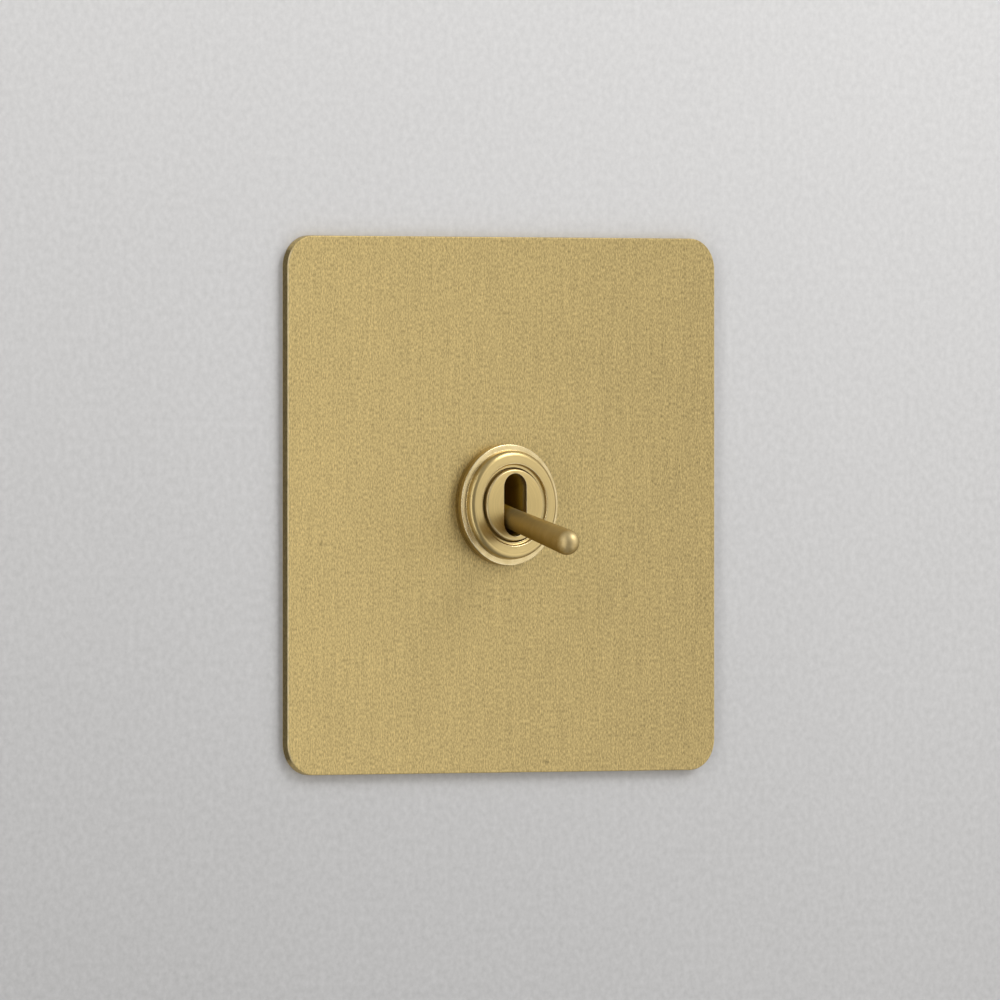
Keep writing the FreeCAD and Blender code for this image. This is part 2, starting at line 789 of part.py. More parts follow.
# silver contact buttons: two on the blade, two on the straps
buttons = []
for number, sign in enumerate(("", "-"), 1):
    spot = ("0", f"fulcrum_y + {sign}contact_pitch * sin(tilt)", f"{sign}contact_pitch * cos(tilt)")
    button = [
        ("0", "arm_back"),
        ("contact_radius", "arm_back"),
        ("contact_radius", "contact_back - contact_bevel"),
        ("contact_flat", "contact_back"),
        ("0", "contact_back"),
    ]
    buttons.append(turned(f"moving_contact_{number}", button, at=spot, axis=X, angle="-tilt"))
group("moving_contacts", buttons)
buttons = []
for number, sign in enumerate(("", "-"), 1):
    button = [
        ("0", "-contact_height"),
        ("contact_radius", "-contact_height"),
        ("contact_radius", "0"),
        ("0", "0"),
    ]
    spot = ("0", "strap_front", sign + "contact_z")
    buttons.append(turned(f"fixed_contact_{number}", button, at=spot))
group("fixed_contacts", buttons)


def terminal(label, x, z, front, depth, floor, cable_axis, extras, holes):
    """A brass block with a cable hole across it and a screw hole from behind, and what is joined to it."""
    block = box(
        label + "_block",
        f"{x} - block_width / 2",
        f"{x} + block_width / 2",
        front,
        f"{front} + {depth}",
        f"{z} - block_height / 2",
        f"{z} + block_height / 2",
    )
    middle = f"{front} + {floor} + cable_radius"
    if cable_axis == "x":
        cable_start, cable_turn = (f"{x} - block_width", middle, z), (Y, "90")
    else:
        cable_start, cable_turn = (x, middle, f"{z} - block_height"), (Z, "90")
    span = "2 * block_width" if cable_axis == "x" else "2 * block_height"
    bore = {"Radius": "cable_radius", "Height": span}
    cable = solid("Cylinder", label + "_cable", cable_start, cable_turn, **bore)
    bore = {"Radius": "screw_radius + snug", "Height": depth}
    tap = solid("Cylinder", label + "_tap", (x, middle, z), (X, "-90"), **bore)
    whole = fuse(label + "_joined", [block] + extras) if extras else block
    subtract(label, whole, [cable, tap] + holes)


def clamp_screw(label, x, z, front, depth, floor):
    """A screw with a slotted head, its end just clear of the cable hole."""
    end, top = f"{floor} + cable_dia + screw_lift", f"{depth} + screw_head_height"
    screw = turned(
        label,
        [
            ("0", end),
            ("screw_radius", end),
            ("screw_radius", depth),
            ("screw_head_radius", depth),
            ("screw_head_radius", top),
            ("0", top),
        ],
        at=(x, front, z),
    )
    slot = ["-screw_head_dia", "screw_head_dia", "-driver_width / 2", "driver_width / 2"]
    cut(screw, lambda s: box_outline(s, *slot), f"{top} - driver_depth")
    return screw


# terminals: the outer two carry the straps of the fixed contacts, the middle one the cradle
in_base = {"x": "0", "front": "base_back", "depth": "block_depth", "floor": "cable_floor"}
leg_back = "base_back + leg_thick / 2"
for label, sign in (("upper_terminal", 1), ("lower_terminal", -1)):
    z = "terminal_pitch" if sign > 0 else "-terminal_pitch"
    ends = ["contact_z - strap_margin", "terminal_pitch + leg_thick / 2"]
    legs = ["terminal_pitch - leg_thick / 2", "terminal_pitch + leg_thick / 2"]
    if sign < 0:
        ends = [f"-({end})" for end in reversed(ends)]
        legs = [f"-({end})" for end in reversed(legs)]
    strap = box(label + "_strap", "-strap_width / 2", "strap_width / 2", "strap_front", "base_front", *ends)
    leg = box(label + "_leg", "-leg_width / 2", "leg_width / 2", "strap_front", leg_back, *legs)
    terminal(label, z=z, cable_axis="x", extras=[strap, leg], holes=[], **in_base)

cradle_back, ear_front = "cradle_front + strap_thick", "cradle_front - cradle_ear"
rise, sink = "cradle_height / 2", "-cradle_height / 2"
post = ["-leg_width / 2", "leg_width / 2", "cradle_front", leg_back, "-leg_thick / 2", "leg_thick / 2"]
foot = ["-strap_width / 2", "strap_width / 2", "strap_front", "base_front", "-strap_margin", "strap_margin"]
cradle = [
    box("cradle_pad", "-cradle_outer", "cradle_outer", "cradle_front", cradle_back, sink, rise),
    box("cradle_ear_1", "cradle_half", "cradle_outer", ear_front, cradle_back, sink, rise),
    box("cradle_ear_2", "-cradle_outer", "-cradle_half", ear_front, cradle_back, sink, rise),
    box("cradle_post", *post),
    box("cradle_foot", *foot),
]
# open notches in the cradle's ears hold the trunnions of the blade
notch_radius, notch_span = "trunnion_radius + pivot_gap", "2 * cradle_outer"
seat = {"Radius": notch_radius, "Height": notch_span}
mouth = ["-cradle_outer", "cradle_outer", ear_front, "fulcrum_y", f"-({notch_radius})", notch_radius]
notches = [
    solid("Cylinder", "trunnion_seat", ("-cradle_outer", "fulcrum_y", "0"), (Y, "90"), **seat),
    box("trunnion_mouth", *mouth),
]
terminal("common_terminal", z="0", cable_axis="x", extras=cradle, holes=notches, **in_base)
rows = ("terminal_pitch", "0", "-terminal_pitch")
screws = [clamp_screw(f"terminal_screw_{n}", z=z, **in_base) for n, z in enumerate(rows, 1)]
group("terminal_screws", screws)

# earth terminal, riveted to the yoke beside the case
on_yoke = {
    "x": "-earth_offset",
    "z": "0",
    "front": "yoke_back",
    "depth": "earth_depth",
    "floor": "earth_floor",
}
bore = {"Radius": "rivet_radius + snug", "Height": "yoke_thick + rivet_sink + snug"}
socket = solid("Cylinder", "rivet_socket", ("-earth_offset", "washer_back", "0"), (X, "-90"), **bore)
terminal("earth_terminal", cable_axis="z", extras=[], holes=[socket], **on_yoke)
clamp_screw("earth_screw", **on_yoke)
cut(yoke, lambda s: circle(s, "-earth_offset", "0", "rivet_radius + snug"), "washer_back")
turned(
    "earth_rivet",
    [
        ("0", "-rivet_head_height"),
        ("rivet_head_radius - rivet_bevel", "-rivet_head_height"),
        ("rivet_head_radius", "rivet_bevel - rivet_head_height"),
        ("rivet_head_radius", "0"),
        ("rivet_radius", "0"),
        ("rivet_radius", "yoke_thick + rivet_sink"),
        ("0", "yoke_thick + rivet_sink"),
    ],
    at=("-earth_offset", "washer_back", "0"),
)
doc.recompute()

NODES = [
    "front_plate",
    "dolly_ring",
    "switch_bush",
    "dolly",
    "pivot_pin",
    "plunger",
    "plunger_spring",
    "fixing_nut",
    "lock_washer",
    "yoke",
    "case_frame",
    "switch_case",
    "terminal_base",
    "rocker_contact",
    "moving_contacts",
    "common_terminal",
    "upper_terminal",
    "lower_terminal",
    "fixed_contacts",
    "terminal_screws",
    "earth_terminal",
    "earth_screw",
    "earth_rivet",
]

for item in doc.Objects:
    if "Invalid" in item.State or "Error" in item.State:
        raise RuntimeError(f"{item.Label} did not build: {item.State}")
os.makedirs("parts", exist_ok=True)
for label in NODES:
    shape = doc.getObject(label).Shape
    if shape.isNull() or not shape.isValid():
        raise RuntimeError(f"{label} has no sound shape")
    shape.exportStep(f"parts/{label}.step")
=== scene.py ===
"""Looks of the brass dolly switch: satin and turned brass in front, pressed and moulded works behind."""
import json
import math

import bmesh
import bpy
from mathutils import Matrix, Vector


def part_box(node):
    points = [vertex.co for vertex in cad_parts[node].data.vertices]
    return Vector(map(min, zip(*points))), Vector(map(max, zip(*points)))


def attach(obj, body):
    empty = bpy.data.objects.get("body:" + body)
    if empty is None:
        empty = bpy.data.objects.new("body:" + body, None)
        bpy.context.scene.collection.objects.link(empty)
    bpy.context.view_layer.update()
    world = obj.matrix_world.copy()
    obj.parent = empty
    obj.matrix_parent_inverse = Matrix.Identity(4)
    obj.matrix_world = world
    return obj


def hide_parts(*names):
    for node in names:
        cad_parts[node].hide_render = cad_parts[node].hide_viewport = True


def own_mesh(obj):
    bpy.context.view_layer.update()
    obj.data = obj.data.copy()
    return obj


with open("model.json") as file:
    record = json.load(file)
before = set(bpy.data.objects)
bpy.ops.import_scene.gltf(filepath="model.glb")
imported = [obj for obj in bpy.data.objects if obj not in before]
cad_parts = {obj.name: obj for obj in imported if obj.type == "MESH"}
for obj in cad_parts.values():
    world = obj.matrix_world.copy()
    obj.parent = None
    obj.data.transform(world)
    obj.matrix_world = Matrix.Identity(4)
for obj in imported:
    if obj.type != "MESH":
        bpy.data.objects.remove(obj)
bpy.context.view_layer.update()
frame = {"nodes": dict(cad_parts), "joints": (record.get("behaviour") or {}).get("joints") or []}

bl_info = {
    "name": "Brass dolly switch",
    "version": (1, 0, 0),
    "blender": (4, 5, 0),
    "location": "3D View > Sidebar > Dolly switch",
    "description": "Builds the visible pieces of a brass dolly switch around its packed solids",
    "category": "Object",
}

MM = 0.001
JOINTS = {joint["name"]: joint for joint in frame["joints"]}
PLATE_LOW, PLATE_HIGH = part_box("front_plate")
RING_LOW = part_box("dolly_ring")[0]
BUSH_LOW, BUSH_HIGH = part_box("switch_bush")
WASHER_LOW, WASHER_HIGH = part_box("lock_washer")
SCREW_BOXES = {node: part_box(node) for node in ("terminal_screws", "earth_screw")}
PIVOT = Vector(JOINTS["dolly_rock"]["pos_m"])
THROW = math.radians(JOINTS["dolly_rock"]["range_deg"][1]) / 2

# how fine the meshes are
RING_STEPS = 192
LEVER_STEPS = 128
ROD_STEPS = 96
WASHER_STEPS = 160
ARC_STEPS = 24
NOSE_STEPS = 20
ROUND_STEPS = 6
EDGE_STEPS = 3
THREAD_STEPS = 8
COIL_STEPS = 40
WIRE_STEPS = 16
# edges that turn more than a crease stay sharp, and faces that turn less than flat are one face
CREASE = math.radians(35)
FLAT = math.radians(0.8)
# points nearer than the first are one point, and a length below the second is nought
MERGE = 1e-6
POLE = 1e-9
# how tightly an edge is rounded, in radians per metre, where its wear starts and where it is full
WEAR_FROM, WEAR_FULL = 1500.0, 5000.0

KEY_PLACE = (0.9, -1.1, 1.1)
REAR_PLACE = (-0.9, 1.1, 1.1)
ROOM_TINT = (1.0, 0.99, 0.98, 1.0)
SENSOR_WIDTH = 36.0
FAR_CLIP = 20.0


def length(name, description, millimetres):
    """A size in metres, written in millimetres."""
    return bpy.props.FloatProperty(
        name=name, description=description, default=millimetres * MM, unit="LENGTH", precision=6
    )


def colour(name, description, default):
    return bpy.props.FloatVectorProperty(
        name=name, description=description, default=default, subtype="COLOR", size=3, min=0.0, max=1.0
    )


def angle(name, description, degrees):
    return bpy.props.FloatProperty(
        name=name, description=description, default=math.radians(degrees), subtype="ANGLE"
    )


def number(name, description, default, unit="NONE"):
    return bpy.props.FloatProperty(name=name, description=description, default=default, unit=unit)


def count(name, description, default):
    return bpy.props.IntProperty(name=name, description=description, default=default)


class PlateSizes(bpy.types.PropertyGroup):
    """The front plate."""

    side: length("Side", "Width and height of the plate", (PLATE_HIGH.x - PLATE_LOW.x) / MM)
    front: length("Front", "Place of the front face", PLATE_LOW.y / MM)
    corner: length("Corner", "Radius of the four corners", 5.0)
    edge: length("Edge", "Rounding of the front edge", 0.18)
    back_edge: length("Back edge", "Rounding of the back edge", 0.1)
    hole: length("Hole", "Radius of the hole for the bush", 6.03)
    hole_flat: length("Hole flat", "Distance of the hole's flats from its middle", 5.43)
    # The darkening of the sides is painted shade on the plate's upright sides, partly a dull sheared
    # edge; it fades by the wall and is gone at the corners.
    dull_start: length("Dull start", "Depth behind the front where the sides start to be dull", 0.1)
    dull_full: length("Dull full", "Depth behind the front where the sides are dull", 0.25)
    dull_fade: length("Dull fade", "Height above the wall where the dull sides start to fade", 0.2)
    dull_end: length("Dull end", "Height above the wall where the dull sides end", 0.05)
    bend_start: length("Bend start", "Distance from top and bottom where the corners turn bright", 2.6)
    bend_full: length("Bend full", "Distance from top and bottom where the corners are bright", 1.6)


class RingSizes(bpy.types.PropertyGroup):
    """The turned ring around the dolly."""

    radius: length("Radius", "Outer radius of the rim", 9.72)
    top: length("Top", "Place of the band on top", RING_LOW.y / MM)
    rim_top: length("Rim top", "Place of the rim's top", -3.25)
    rim_round: length("Rim round", "Rounding of the rim", 0.16)
    ovolo: length("Ovolo", "Radius of the rounded shoulder", 0.95)
    shoulder: length("Shoulder", "Outer radius of the rounded shoulder", 8.77)
    band_inner: length("Band inside", "Inner radius of the band", 6.65)
    eye: length("Eye", "Radius of the sunk eye", 6.5)
    eye_top: length("Eye top", "Place where the eye's wall starts", -4.45)
    eye_back: length("Eye back", "Place of the eye's floor", -4.1)
    eye_round: length("Eye round", "Rounding between the eye's wall and floor", 0.25)
    bore: length("Bore", "Radius of the threaded bore", 6.03)
    bore_round: length("Bore round", "Rounding of the bore's front edge", 0.045)
    small_round: length("Small round", "Rounding of the lesser edges", 0.09)
    foot_round: length("Foot round", "Rounding where the rim meets the plate", 0.14)
    # The rim's paler top is partly rubbed wear and partly a painted highlight.
    rim_rubbed: number("Rim rubbed", "How bright the rim is rubbed", 0.35)


class BushSizes(bpy.types.PropertyGroup):
    """The threaded bush with the dolly's slot."""

    face: length("Face", "Place of the slotted face", BUSH_LOW.y / MM)
    head: length("Head", "Radius of the head", 5.75)
    head_round: length("Head round", "Rounding of the head's edge", 0.3)
    thread_start: length("Thread start", "Place where the thread starts", -3.95)
    barrel: length("Barrel", "Radius over the thread", 6.0)
    flat: length("Flat", "Distance of the barrel's flats from its middle", 5.4)
    pitch: length("Pitch", "Pitch of the thread", 0.75)
    thread_depth: length("Thread depth", "Depth of the thread", 0.3)
    barrel_back: length("Barrel back", "Place of the barrel's shoulder", 6.3)
    neck: length("Neck", "Radius of the neck", 5.7)
    neck_back: length("Neck back", "Place where the lip starts", 7.1)
    lip: length("Lip", "Radius of the lip turned over the frame", 6.5)
    back: length("Back", "Place of the bush's end", BUSH_HIGH.y / MM)
    slot: length("Slot", "Half the width of the slot", 2.275)
    slot_end: length("Slot end", "Distance of the slot's round ends from its middle", 2.775)
    slot_round: length("Slot round", "Rounding of the slot's edge", 0.07)
    pin_hole: length("Pin hole", "Radius of the hole for the pin", 1.03)
    # The darkening in the slot is painted shade, full deeper behind the face.
    grime_start: length("Grime start", "Depth behind the face where the grime starts", 0.3)
    grime_full: length("Grime full", "Depth behind the face where the grime is full", 1.4)


class DollySizes(bpy.types.PropertyGroup):
    """The lever, its pin, plunger and spring, along the lever's own axis from the pivot."""

    reach: length("Reach", "Distance of the tip from the pivot", 26.0)
    tip: length("Tip", "Radius of the round tip", 2.05)
    stem: length("Stem", "Radius of the stem in the slot", 1.725)
    stem_start: length("Stem start", "Distance of the stem's narrow end from the pivot", 9.7)
    stem_round: length("Stem round", "Rounding where the stem's taper ends", 4.0)
    hub: length("Hub", "Radius of the hub", 3.1)
    hub_half: length("Hub half", "Half the width of the hub", 2.125)
    tail: length("Tail", "Radius of the tail", 2.1)
    tail_length: length("Tail length", "Distance of the tail's end from the pivot", 9.0)
    tail_round: length("Tail round", "Rounding of the edges of hub and tail", 0.15)
    bore: length("Bore", "Radius of the tail's bore", 1.45)
    bore_floor: length("Bore floor", "Distance of the bore's floor from the pivot", 2.9)
    # The darkening of the stem where it lies in the slot is painted shade.
    grime_start: length("Grime start", "Distance before the stem's narrow end where grime starts", 0.5)
    grime_full: length("Grime full", "Distance behind the stem's narrow end where grime is full", 2.0)
    pin_hole: length("Pin hole", "Radius of the hole for the pin", 1.05)
    pin: length("Pin", "Radius of the pin", 1.0)
    pin_half: length("Pin half", "Half the length of the pin", 5.2)
    pin_round: length("Pin round", "Rounding of the pin's ends", 0.195)
    plunger_reach: length("Plunger reach", "Distance of the plunger's nose from the pivot", 11.2)
    plunger_back: length("Plunger back", "Distance of the plunger's mouth from the pivot", 4.6)
    plunger: length("Plunger", "Radius of the plunger", 1.39)
    plunger_round: length("Plunger round", "Rounding of the plunger's edges", 0.1)
    cup: length("Cup", "Radius of the plunger's cup", 1.0)
    cup_end: length("Cup end", "Distance of the cup's floor from the pivot", 8.8)
    coil: length("Coil", "Radius of the spring's turns", 0.75)
    wire: length("Wire", "Radius of the spring's wire", 0.15)
    coil_gap: length("Coil gap", "Gap between the spring's ends and their seats", 0.03)
    turns: number("Turns", "Turns of the spring", 6.5)


class WorksSizes(bpy.types.PropertyGroup):
    """Fixings and terminals behind the plate."""

    washer: length("Washer", "Radius of the toothed washer", 8.75)
    tooth_depth: length("Tooth depth", "Depth of the gaps between the washer's teeth", 1.3)
    tooth_gap: length("Tooth gap", "Width of the gaps between the washer's teeth", 1.2)
    tooth_round: length("Tooth round", "Rounding of the washer's edges", 0.06)
    teeth: count("Teeth", "Teeth of the washer", 10)
    screw: length("Screw", "Radius of a terminal screw", 1.75)
    screw_head: length("Screw head", "Radius of a screw's head", 2.7)
    screw_head_height: length("Screw head height", "Height of a screw's head", 1.7)
    driver_width: length("Driver width", "Width of a screw's slot", 0.9)
    driver_depth: length("Driver depth", "Depth of a screw's slot", 0.8)
    terminal_pitch: length("Terminal pitch", "Distance between the terminals", 11.3)
    terminal_count: count("Terminals", "Terminals in the row", 3)
    sheet_round: length("Sheet round", "Rounding of the edges of pressed sheet", 0.12)
    button_round: length("Button round", "Rounding of the edges of the blade's buttons", 0.06)
    mould_round: length("Mould round", "Rounding of the edges of mouldings", 0.16)
    block_round: length("Block round", "Rounding of the edges of brass blocks", 0.2)


class Finishes(bpy.types.PropertyGroup):
    """Colours of the finishes."""

    satin_brass: colour("Satin brass", "Front plate", (0.462, 0.352, 0.149))
    turned_brass: colour("Turned brass", "Ring", (0.49, 0.375, 0.165))
    slotted_brass: colour("Slotted brass", "Bush", (0.475, 0.36, 0.155))
    # The dolly's darker brass is painted shade for its underside; its upper side takes the paler turned
    # brass as painted light.
    dolly_brass: colour("Dolly brass", "Dolly", (0.36, 0.22, 0.03))
    # Dark brass for the painted shade deep in the slot and on the stem inside it.
    old_grime: colour("Old grime", "Brass inside the slot", (0.38, 0.24, 0.03))
    # Pale rubbed brass: wear on the rounded edges, which also stands for painted highlight lines along
    # them.
    rubbed_brass: colour("Rubbed brass", "Edges that handling has brightened", (0.86, 0.74, 0.48))
    raw_brass: colour("Raw brass", "Nut, terminals and screws", (0.52, 0.37, 0.14))
    zinc_steel: colour("Zinc steel", "Yoke, frame and washer", (0.60, 0.60, 0.58))
    spring_steel: colour("Spring steel", "Pin and spring", (0.52, 0.52, 0.52))
    silver: colour("Silver", "Contacts", (0.78, 0.77, 0.74))
    dark_moulding: colour("Dark moulding", "Case and base", (0.035, 0.033, 0.03))
    pale_nylon: colour("Pale nylon", "Plunger", (0.72, 0.70, 0.62))
    wall: colour("Wall", "Wall behind the plate", (0.712, 0.708, 0.707))


class StageSettings(bpy.types.PropertyGroup):
    """Camera, wall and light."""

    azimuth: angle("Azimuth", "Turn of the camera to the right", -37.2)
    elevation: angle("Elevation", "Rise of the camera", 0.2)
    distance: length("Distance", "Distance of the camera", 2930.0)
    lens: number("Lens", "Focal length in millimetres", 657.0)
    aim_right: length("Aim right", "How far right of the plate's middle the camera aims", -0.53)
    aim_up: length("Aim up", "How far above the plate's middle the camera aims", 0.77)
    wall_half: length("Wall half", "Half the width of the wall", 2500.0)
    wall_gap: length("Wall gap", "Gap between the plate and the wall", 0.03)
    wall_lap: length("Wall lap", "How far the plate laps over the wall's opening", 0.25)
    # The wall's change of tone is painted shade, darker towards its bottom and left.
    tone_half: length("Tone half", "How far out the wall's change of tone ends", 80.0)
    ambient: number("Ambient", "Light from all sides", 0.29)
    above: number("Above", "More light from straight above", 0.26)
    box_way: angle("Box", "Where the tall soft box stands, to the right of the front", 42)
    box_inner: angle("Box inside", "How far from its middle the soft box is full", 14)
    box_outer: angle("Box outside", "How far from its middle the soft box ends", 40)
    box_level: number("Box level", "Light from the soft box", 1.0)
    box_rise: angle("Box rise", "How far up and down the boxes are full", 35)
    box_end: angle("Box end", "How far up and down the boxes end", 70)
    strip_way: angle("Strip", "Where the narrow strip stands", -64)
    strip_inner: angle("Strip inside", "How far from its middle the strip is full", 3)
    strip_outer: angle("Strip outside", "How far from its middle the strip ends", 10)
    strip_level: number("Strip level", "Light from the strip", 3.2)
    lamp_size: length("Lamp size", "Width of the two lamps", 700.0)
    key_power: number("Key", "Key lamp", 11.0, "POWER")
    rear_power: number("Rear", "Lamp behind the wall", 9.0, "POWER")


GROUPS = {
    "plate": PlateSizes,
    "ring": RingSizes,
    "bush": BushSizes,
    "dolly": DollySizes,
    "works": WorksSizes,
    "finishes": Finishes,
    "stage": StageSettings,
}


def settings(group):
    return getattr(bpy.context.scene, "dolly_switch_" + group)


# meshes


def loft(loops, closed=True):
    """A skin over loops of points, each as long as the next. A loop of one point is a pole."""
    bm = bmesh.new()
    rings = [[bm.verts.new(point) for point in loop] for loop in loops]
    pairs = list(zip(rings, rings[1:]))
    if closed:
        pairs.append((rings[-1], rings[0]))
    for low, high in pairs:
        steps = max(len(low), len(high))
        for step in range(steps):
            after = (step + 1) % steps
            corners = [low[step % len(low)], low[after % len(low)]]
            corners += [high[after % len(high)], high[step % len(high)]]
            bm.faces.new(list(dict.fromkeys(corners)))
    bmesh.ops.recalc_face_normals(bm, faces=bm.faces)
    return bm


def lathe(profile, steps, closed=False):
    """A skin turned about the Y axis from points of a radius and a place."""
    turns = [2 * math.pi * step / steps for step in range(steps)]
    loops = []
    for radius, y in profile:
        if radius < POLE:
            loops.append([(0, y, 0)])
        else:
            loops.append([(radius * math.cos(t), y, radius * math.sin(t)) for t in turns])
    return loft(loops, closed)


def arc(centre, radius, start, end, steps=ARC_STEPS):
    """Corners along an arc, between two angles in degrees."""
    turns = [math.radians(start + (end - start) * step / steps) for step in range(steps + 1)]
    return [(centre[0] + radius * math.cos(t), centre[1] + radius * math.sin(t), 0) for t in turns]


def rounded(corners, closed=False):
    """A line through corners of two places and a rounding."""
    line = []
    ends = (0, len(corners) - 1)
    for index, (across, along, radius) in enumerate(corners):
        here = Vector((across, along))
        if radius <= 0 or (not closed and index in ends):
            line.append(tuple(here))
            continue
        before = (Vector(corners[index - 1][:2]) - here).normalized()
        after = (Vector(corners[(index + 1) % len(corners)][:2]) - here).normalized()
        half = before.angle(after) / 2
        centre = here + (before + after).normalized() * (radius / math.sin(half))
        first = here + before * (radius / math.tan(half)) - centre
        last = here + after * (radius / math.tan(half)) - centre
        sweep = first.angle_signed(last)
        for step in range(ROUND_STEPS + 1):
            turn = -sweep * step / ROUND_STEPS
            line.append(tuple(centre + Matrix.Rotation(turn, 2) @ first))
    return line


def wear_mask(bm, rubbed):
    """Give each point how far it lies on a tightly rounded outer edge, or where else it is rubbed; the
    pale colour it brings is partly painted highlight.
    """
    layer = bm.verts.layers.float.new("edge")
    for vert in bm.verts:
        most = 0.0
        for edge in vert.link_edges:
            span = edge.calc_length()
            if len(edge.link_faces) != 2 or span < POLE:
                continue
            width = sum(face.calc_area() for face in edge.link_faces) / (2 * span)
            turn = edge.calc_face_angle_signed(0.0)
            most = max(most, turn / max(width, MERGE))
        worn = min(max((most - WEAR_FROM) / (WEAR_FULL - WEAR_FROM), 0.0), 1.0)
        vert[layer] = max(worn, rubbed(vert.co) if rubbed else 0.0)


def add_object(name, data):
    made = bpy.data.objects.new(name, data)
    bpy.context.scene.collection.objects.link(made)
    return made


def evaluated(holder):
    """The plain mesh of an object after its modifiers. The object itself goes."""
    graph = bpy.context.evaluated_depsgraph_get()
    mesh = bpy.data.meshes.new_from_object(holder.evaluated_get(graph))
    name = holder.name
    own = holder.data
    bpy.data.objects.remove(holder)
    bpy.data.meshes.remove(own)
    mesh.name = name
    return mesh


def modified(name, mesh, kind, **values):
    """The mesh as it is after one modifier."""
    holder = add_object(name, mesh)
    modifier = holder.modifiers.new(name, kind)
    for key, value in values.items():
        setattr(modifier, key, value)
    return evaluated(holder)


def mesh_of(name, bm):
    """A skin's mesh. The skin itself goes."""
    mesh = bpy.data.meshes.new(name)
    bm.to_mesh(mesh)
    bm.free()
    return mesh


def skin_of(mesh):
    """A mesh's skin. The mesh itself goes."""
    bm = bmesh.new()
    bm.from_mesh(mesh)
    bpy.data.meshes.remove(mesh)
    return bm


def to_mesh(name, bm, rubbed):
    """A smooth mesh with creases at its sharp edges and even shading on its flat faces."""
    wear_mask(bm, rubbed)
    mesh = mesh_of(name, bm)
    mesh.shade_smooth()
    mesh.set_sharp_from_angle(angle=CREASE)
    return modified(name, mesh, "WEIGHTED_NORMAL", keep_sharp=True)


def carve(bm, tool, operation):
    """One skin joined with another or cut by it."""
    mesh = mesh_of("carved", bm)
    cutter = add_object("cutter", mesh_of("cutter", tool))
    result = modified("carved", mesh, "BOOLEAN", operation=operation, solver="EXACT", object=cutter)
    cutter_mesh = cutter.data
    bpy.data.objects.remove(cutter)
    bpy.data.meshes.remove(cutter_mesh)
    return skin_of(result)


def soften(bm, radius):
    """Round the sharp outer edges of a skin."""
    bmesh.ops.dissolve_limit(bm, angle_limit=FLAT, verts=bm.verts, edges=bm.edges)
    sharp = [e for e in bm.edges if len(e.link_faces) == 2 and e.calc_face_angle_signed(0.0) > CREASE]
    bmesh.ops.bevel(
        bm,
        geom=sharp,
        offset=radius,
        offset_type="OFFSET",
        segments=EDGE_STEPS,
        profile=0.5,
        affect="EDGES",
        clamp_overlap=True,
    )
    bmesh.ops.dissolve_degenerate(bm, dist=POLE, edges=bm.edges)
    return bm


def add_piece(name, bm, node, finish_name, body="switch", rubbed=None):
    """Put a skin with its finish on a body, in place of the solid that it stands for."""
    mesh = to_mesh(name, bm, rubbed)
    mesh.materials.clear()
    mesh.materials.append(finish(finish_name))
    piece = add_object(name, mesh)
    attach(piece, body)
    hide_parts(node)
    return piece


def dress(name, node, finish_name, radius, body="switch"):
    """A solid's own skin, its loose triangles merged and its edges rounded, with its finish on."""
    bm = bmesh.new()
    bm.from_mesh(frame["nodes"][node].data)
    bmesh.ops.remove_doubles(bm, verts=bm.verts, dist=MERGE)
    add_piece(name, soften(bm, radius), node, finish_name, body)


# node trees

FLOAT, INT, VECTOR = "NodeSocketFloat", "NodeSocketInt", "NodeSocketVector"
MATERIAL, GEOMETRY = "NodeSocketMaterial", "NodeSocketGeometry"
UPRIGHT = (-math.pi / 2, 0, 0)


def fill(tree, socket, source):
    """Feed a socket from another, from several in a list, or with a plain value."""
    if isinstance(source, (bpy.types.NodeSocket, list)):
        for one in source if isinstance(source, list) else [source]:
            tree.links.new(one, socket)
    else:
        socket.default_value = source


def add_node(tree, kind, inputs=None, output=0, **values):
    """One output of a new node with these settings and inputs."""
    node = tree.nodes.new(kind)
    for key, value in values.items():
        setattr(node, key, value)
    for key, source in (inputs or {}).items():
        fill(tree, node.inputs[key], source)
    return node.outputs[output]


def add_math(tree, operation, *sources):
    return add_node(tree, "ShaderNodeMath", dict(enumerate(sources)), operation=operation)


def combine(tree, x=0.0, y=0.0, z=0.0):
    return add_node(tree, "ShaderNodeCombineXYZ", {"X": x, "Y": y, "Z": z})


def axes(tree, vector):
    return add_node(tree, "ShaderNodeSeparateXYZ", {0: vector}).node.outputs


def vector_math(tree, operation, *sources, output="Vector"):
    return add_node(tree, "ShaderNodeVectorMath", dict(enumerate(sources)), output, operation=operation)


def ramp(tree, value, start, end, low=0.0, high=1.0, kind="LINEAR"):
    """A value that goes from low to high between a start and an end."""
    inputs = {"Value": value, "From Min": start, "From Max": end, "To Min": low, "To Max": high}
    return add_node(tree, "ShaderNodeMapRange", inputs, interpolation_type=kind)


def spread(tree, value, low, high):
    """A value from nought to one, spread over a range."""
    return ramp(tree, value, 0.0, 1.0, low, high)


def sway(tree, value, amount, middle=0.0):
    """A value from nought to one, spread evenly about a middle."""
    return spread(tree, value, middle - amount, middle + amount)


def total(tree, *values):
    result = values[0]
    for value in values[1:]:
        result = add_math(tree, "ADD", result, value)
    return result


def noise(tree, vector, scale, detail, roughness):
    inputs = {"Vector": vector, "Scale": scale, "Detail": detail, "Roughness": roughness}
    return add_node(tree, "ShaderNodeTexNoise", inputs)


def title(words):
    return words.replace("_", " ").title()


def new_tree(name, kind, inputs, outputs):
    """A node tree with its named sockets, its input node and its output node."""
    tree = bpy.data.node_groups.new(name, kind)
    for label, socket, default in inputs:
        made = tree.interface.new_socket(label, in_out="INPUT", socket_type=socket)
        if default is not None:
            made.default_value = default
    for label, socket in outputs:
        tree.interface.new_socket(label, in_out="OUTPUT", socket_type=socket)
    return tree, tree.nodes.new("NodeGroupInput").outputs, tree.nodes.new("NodeGroupOutput").inputs


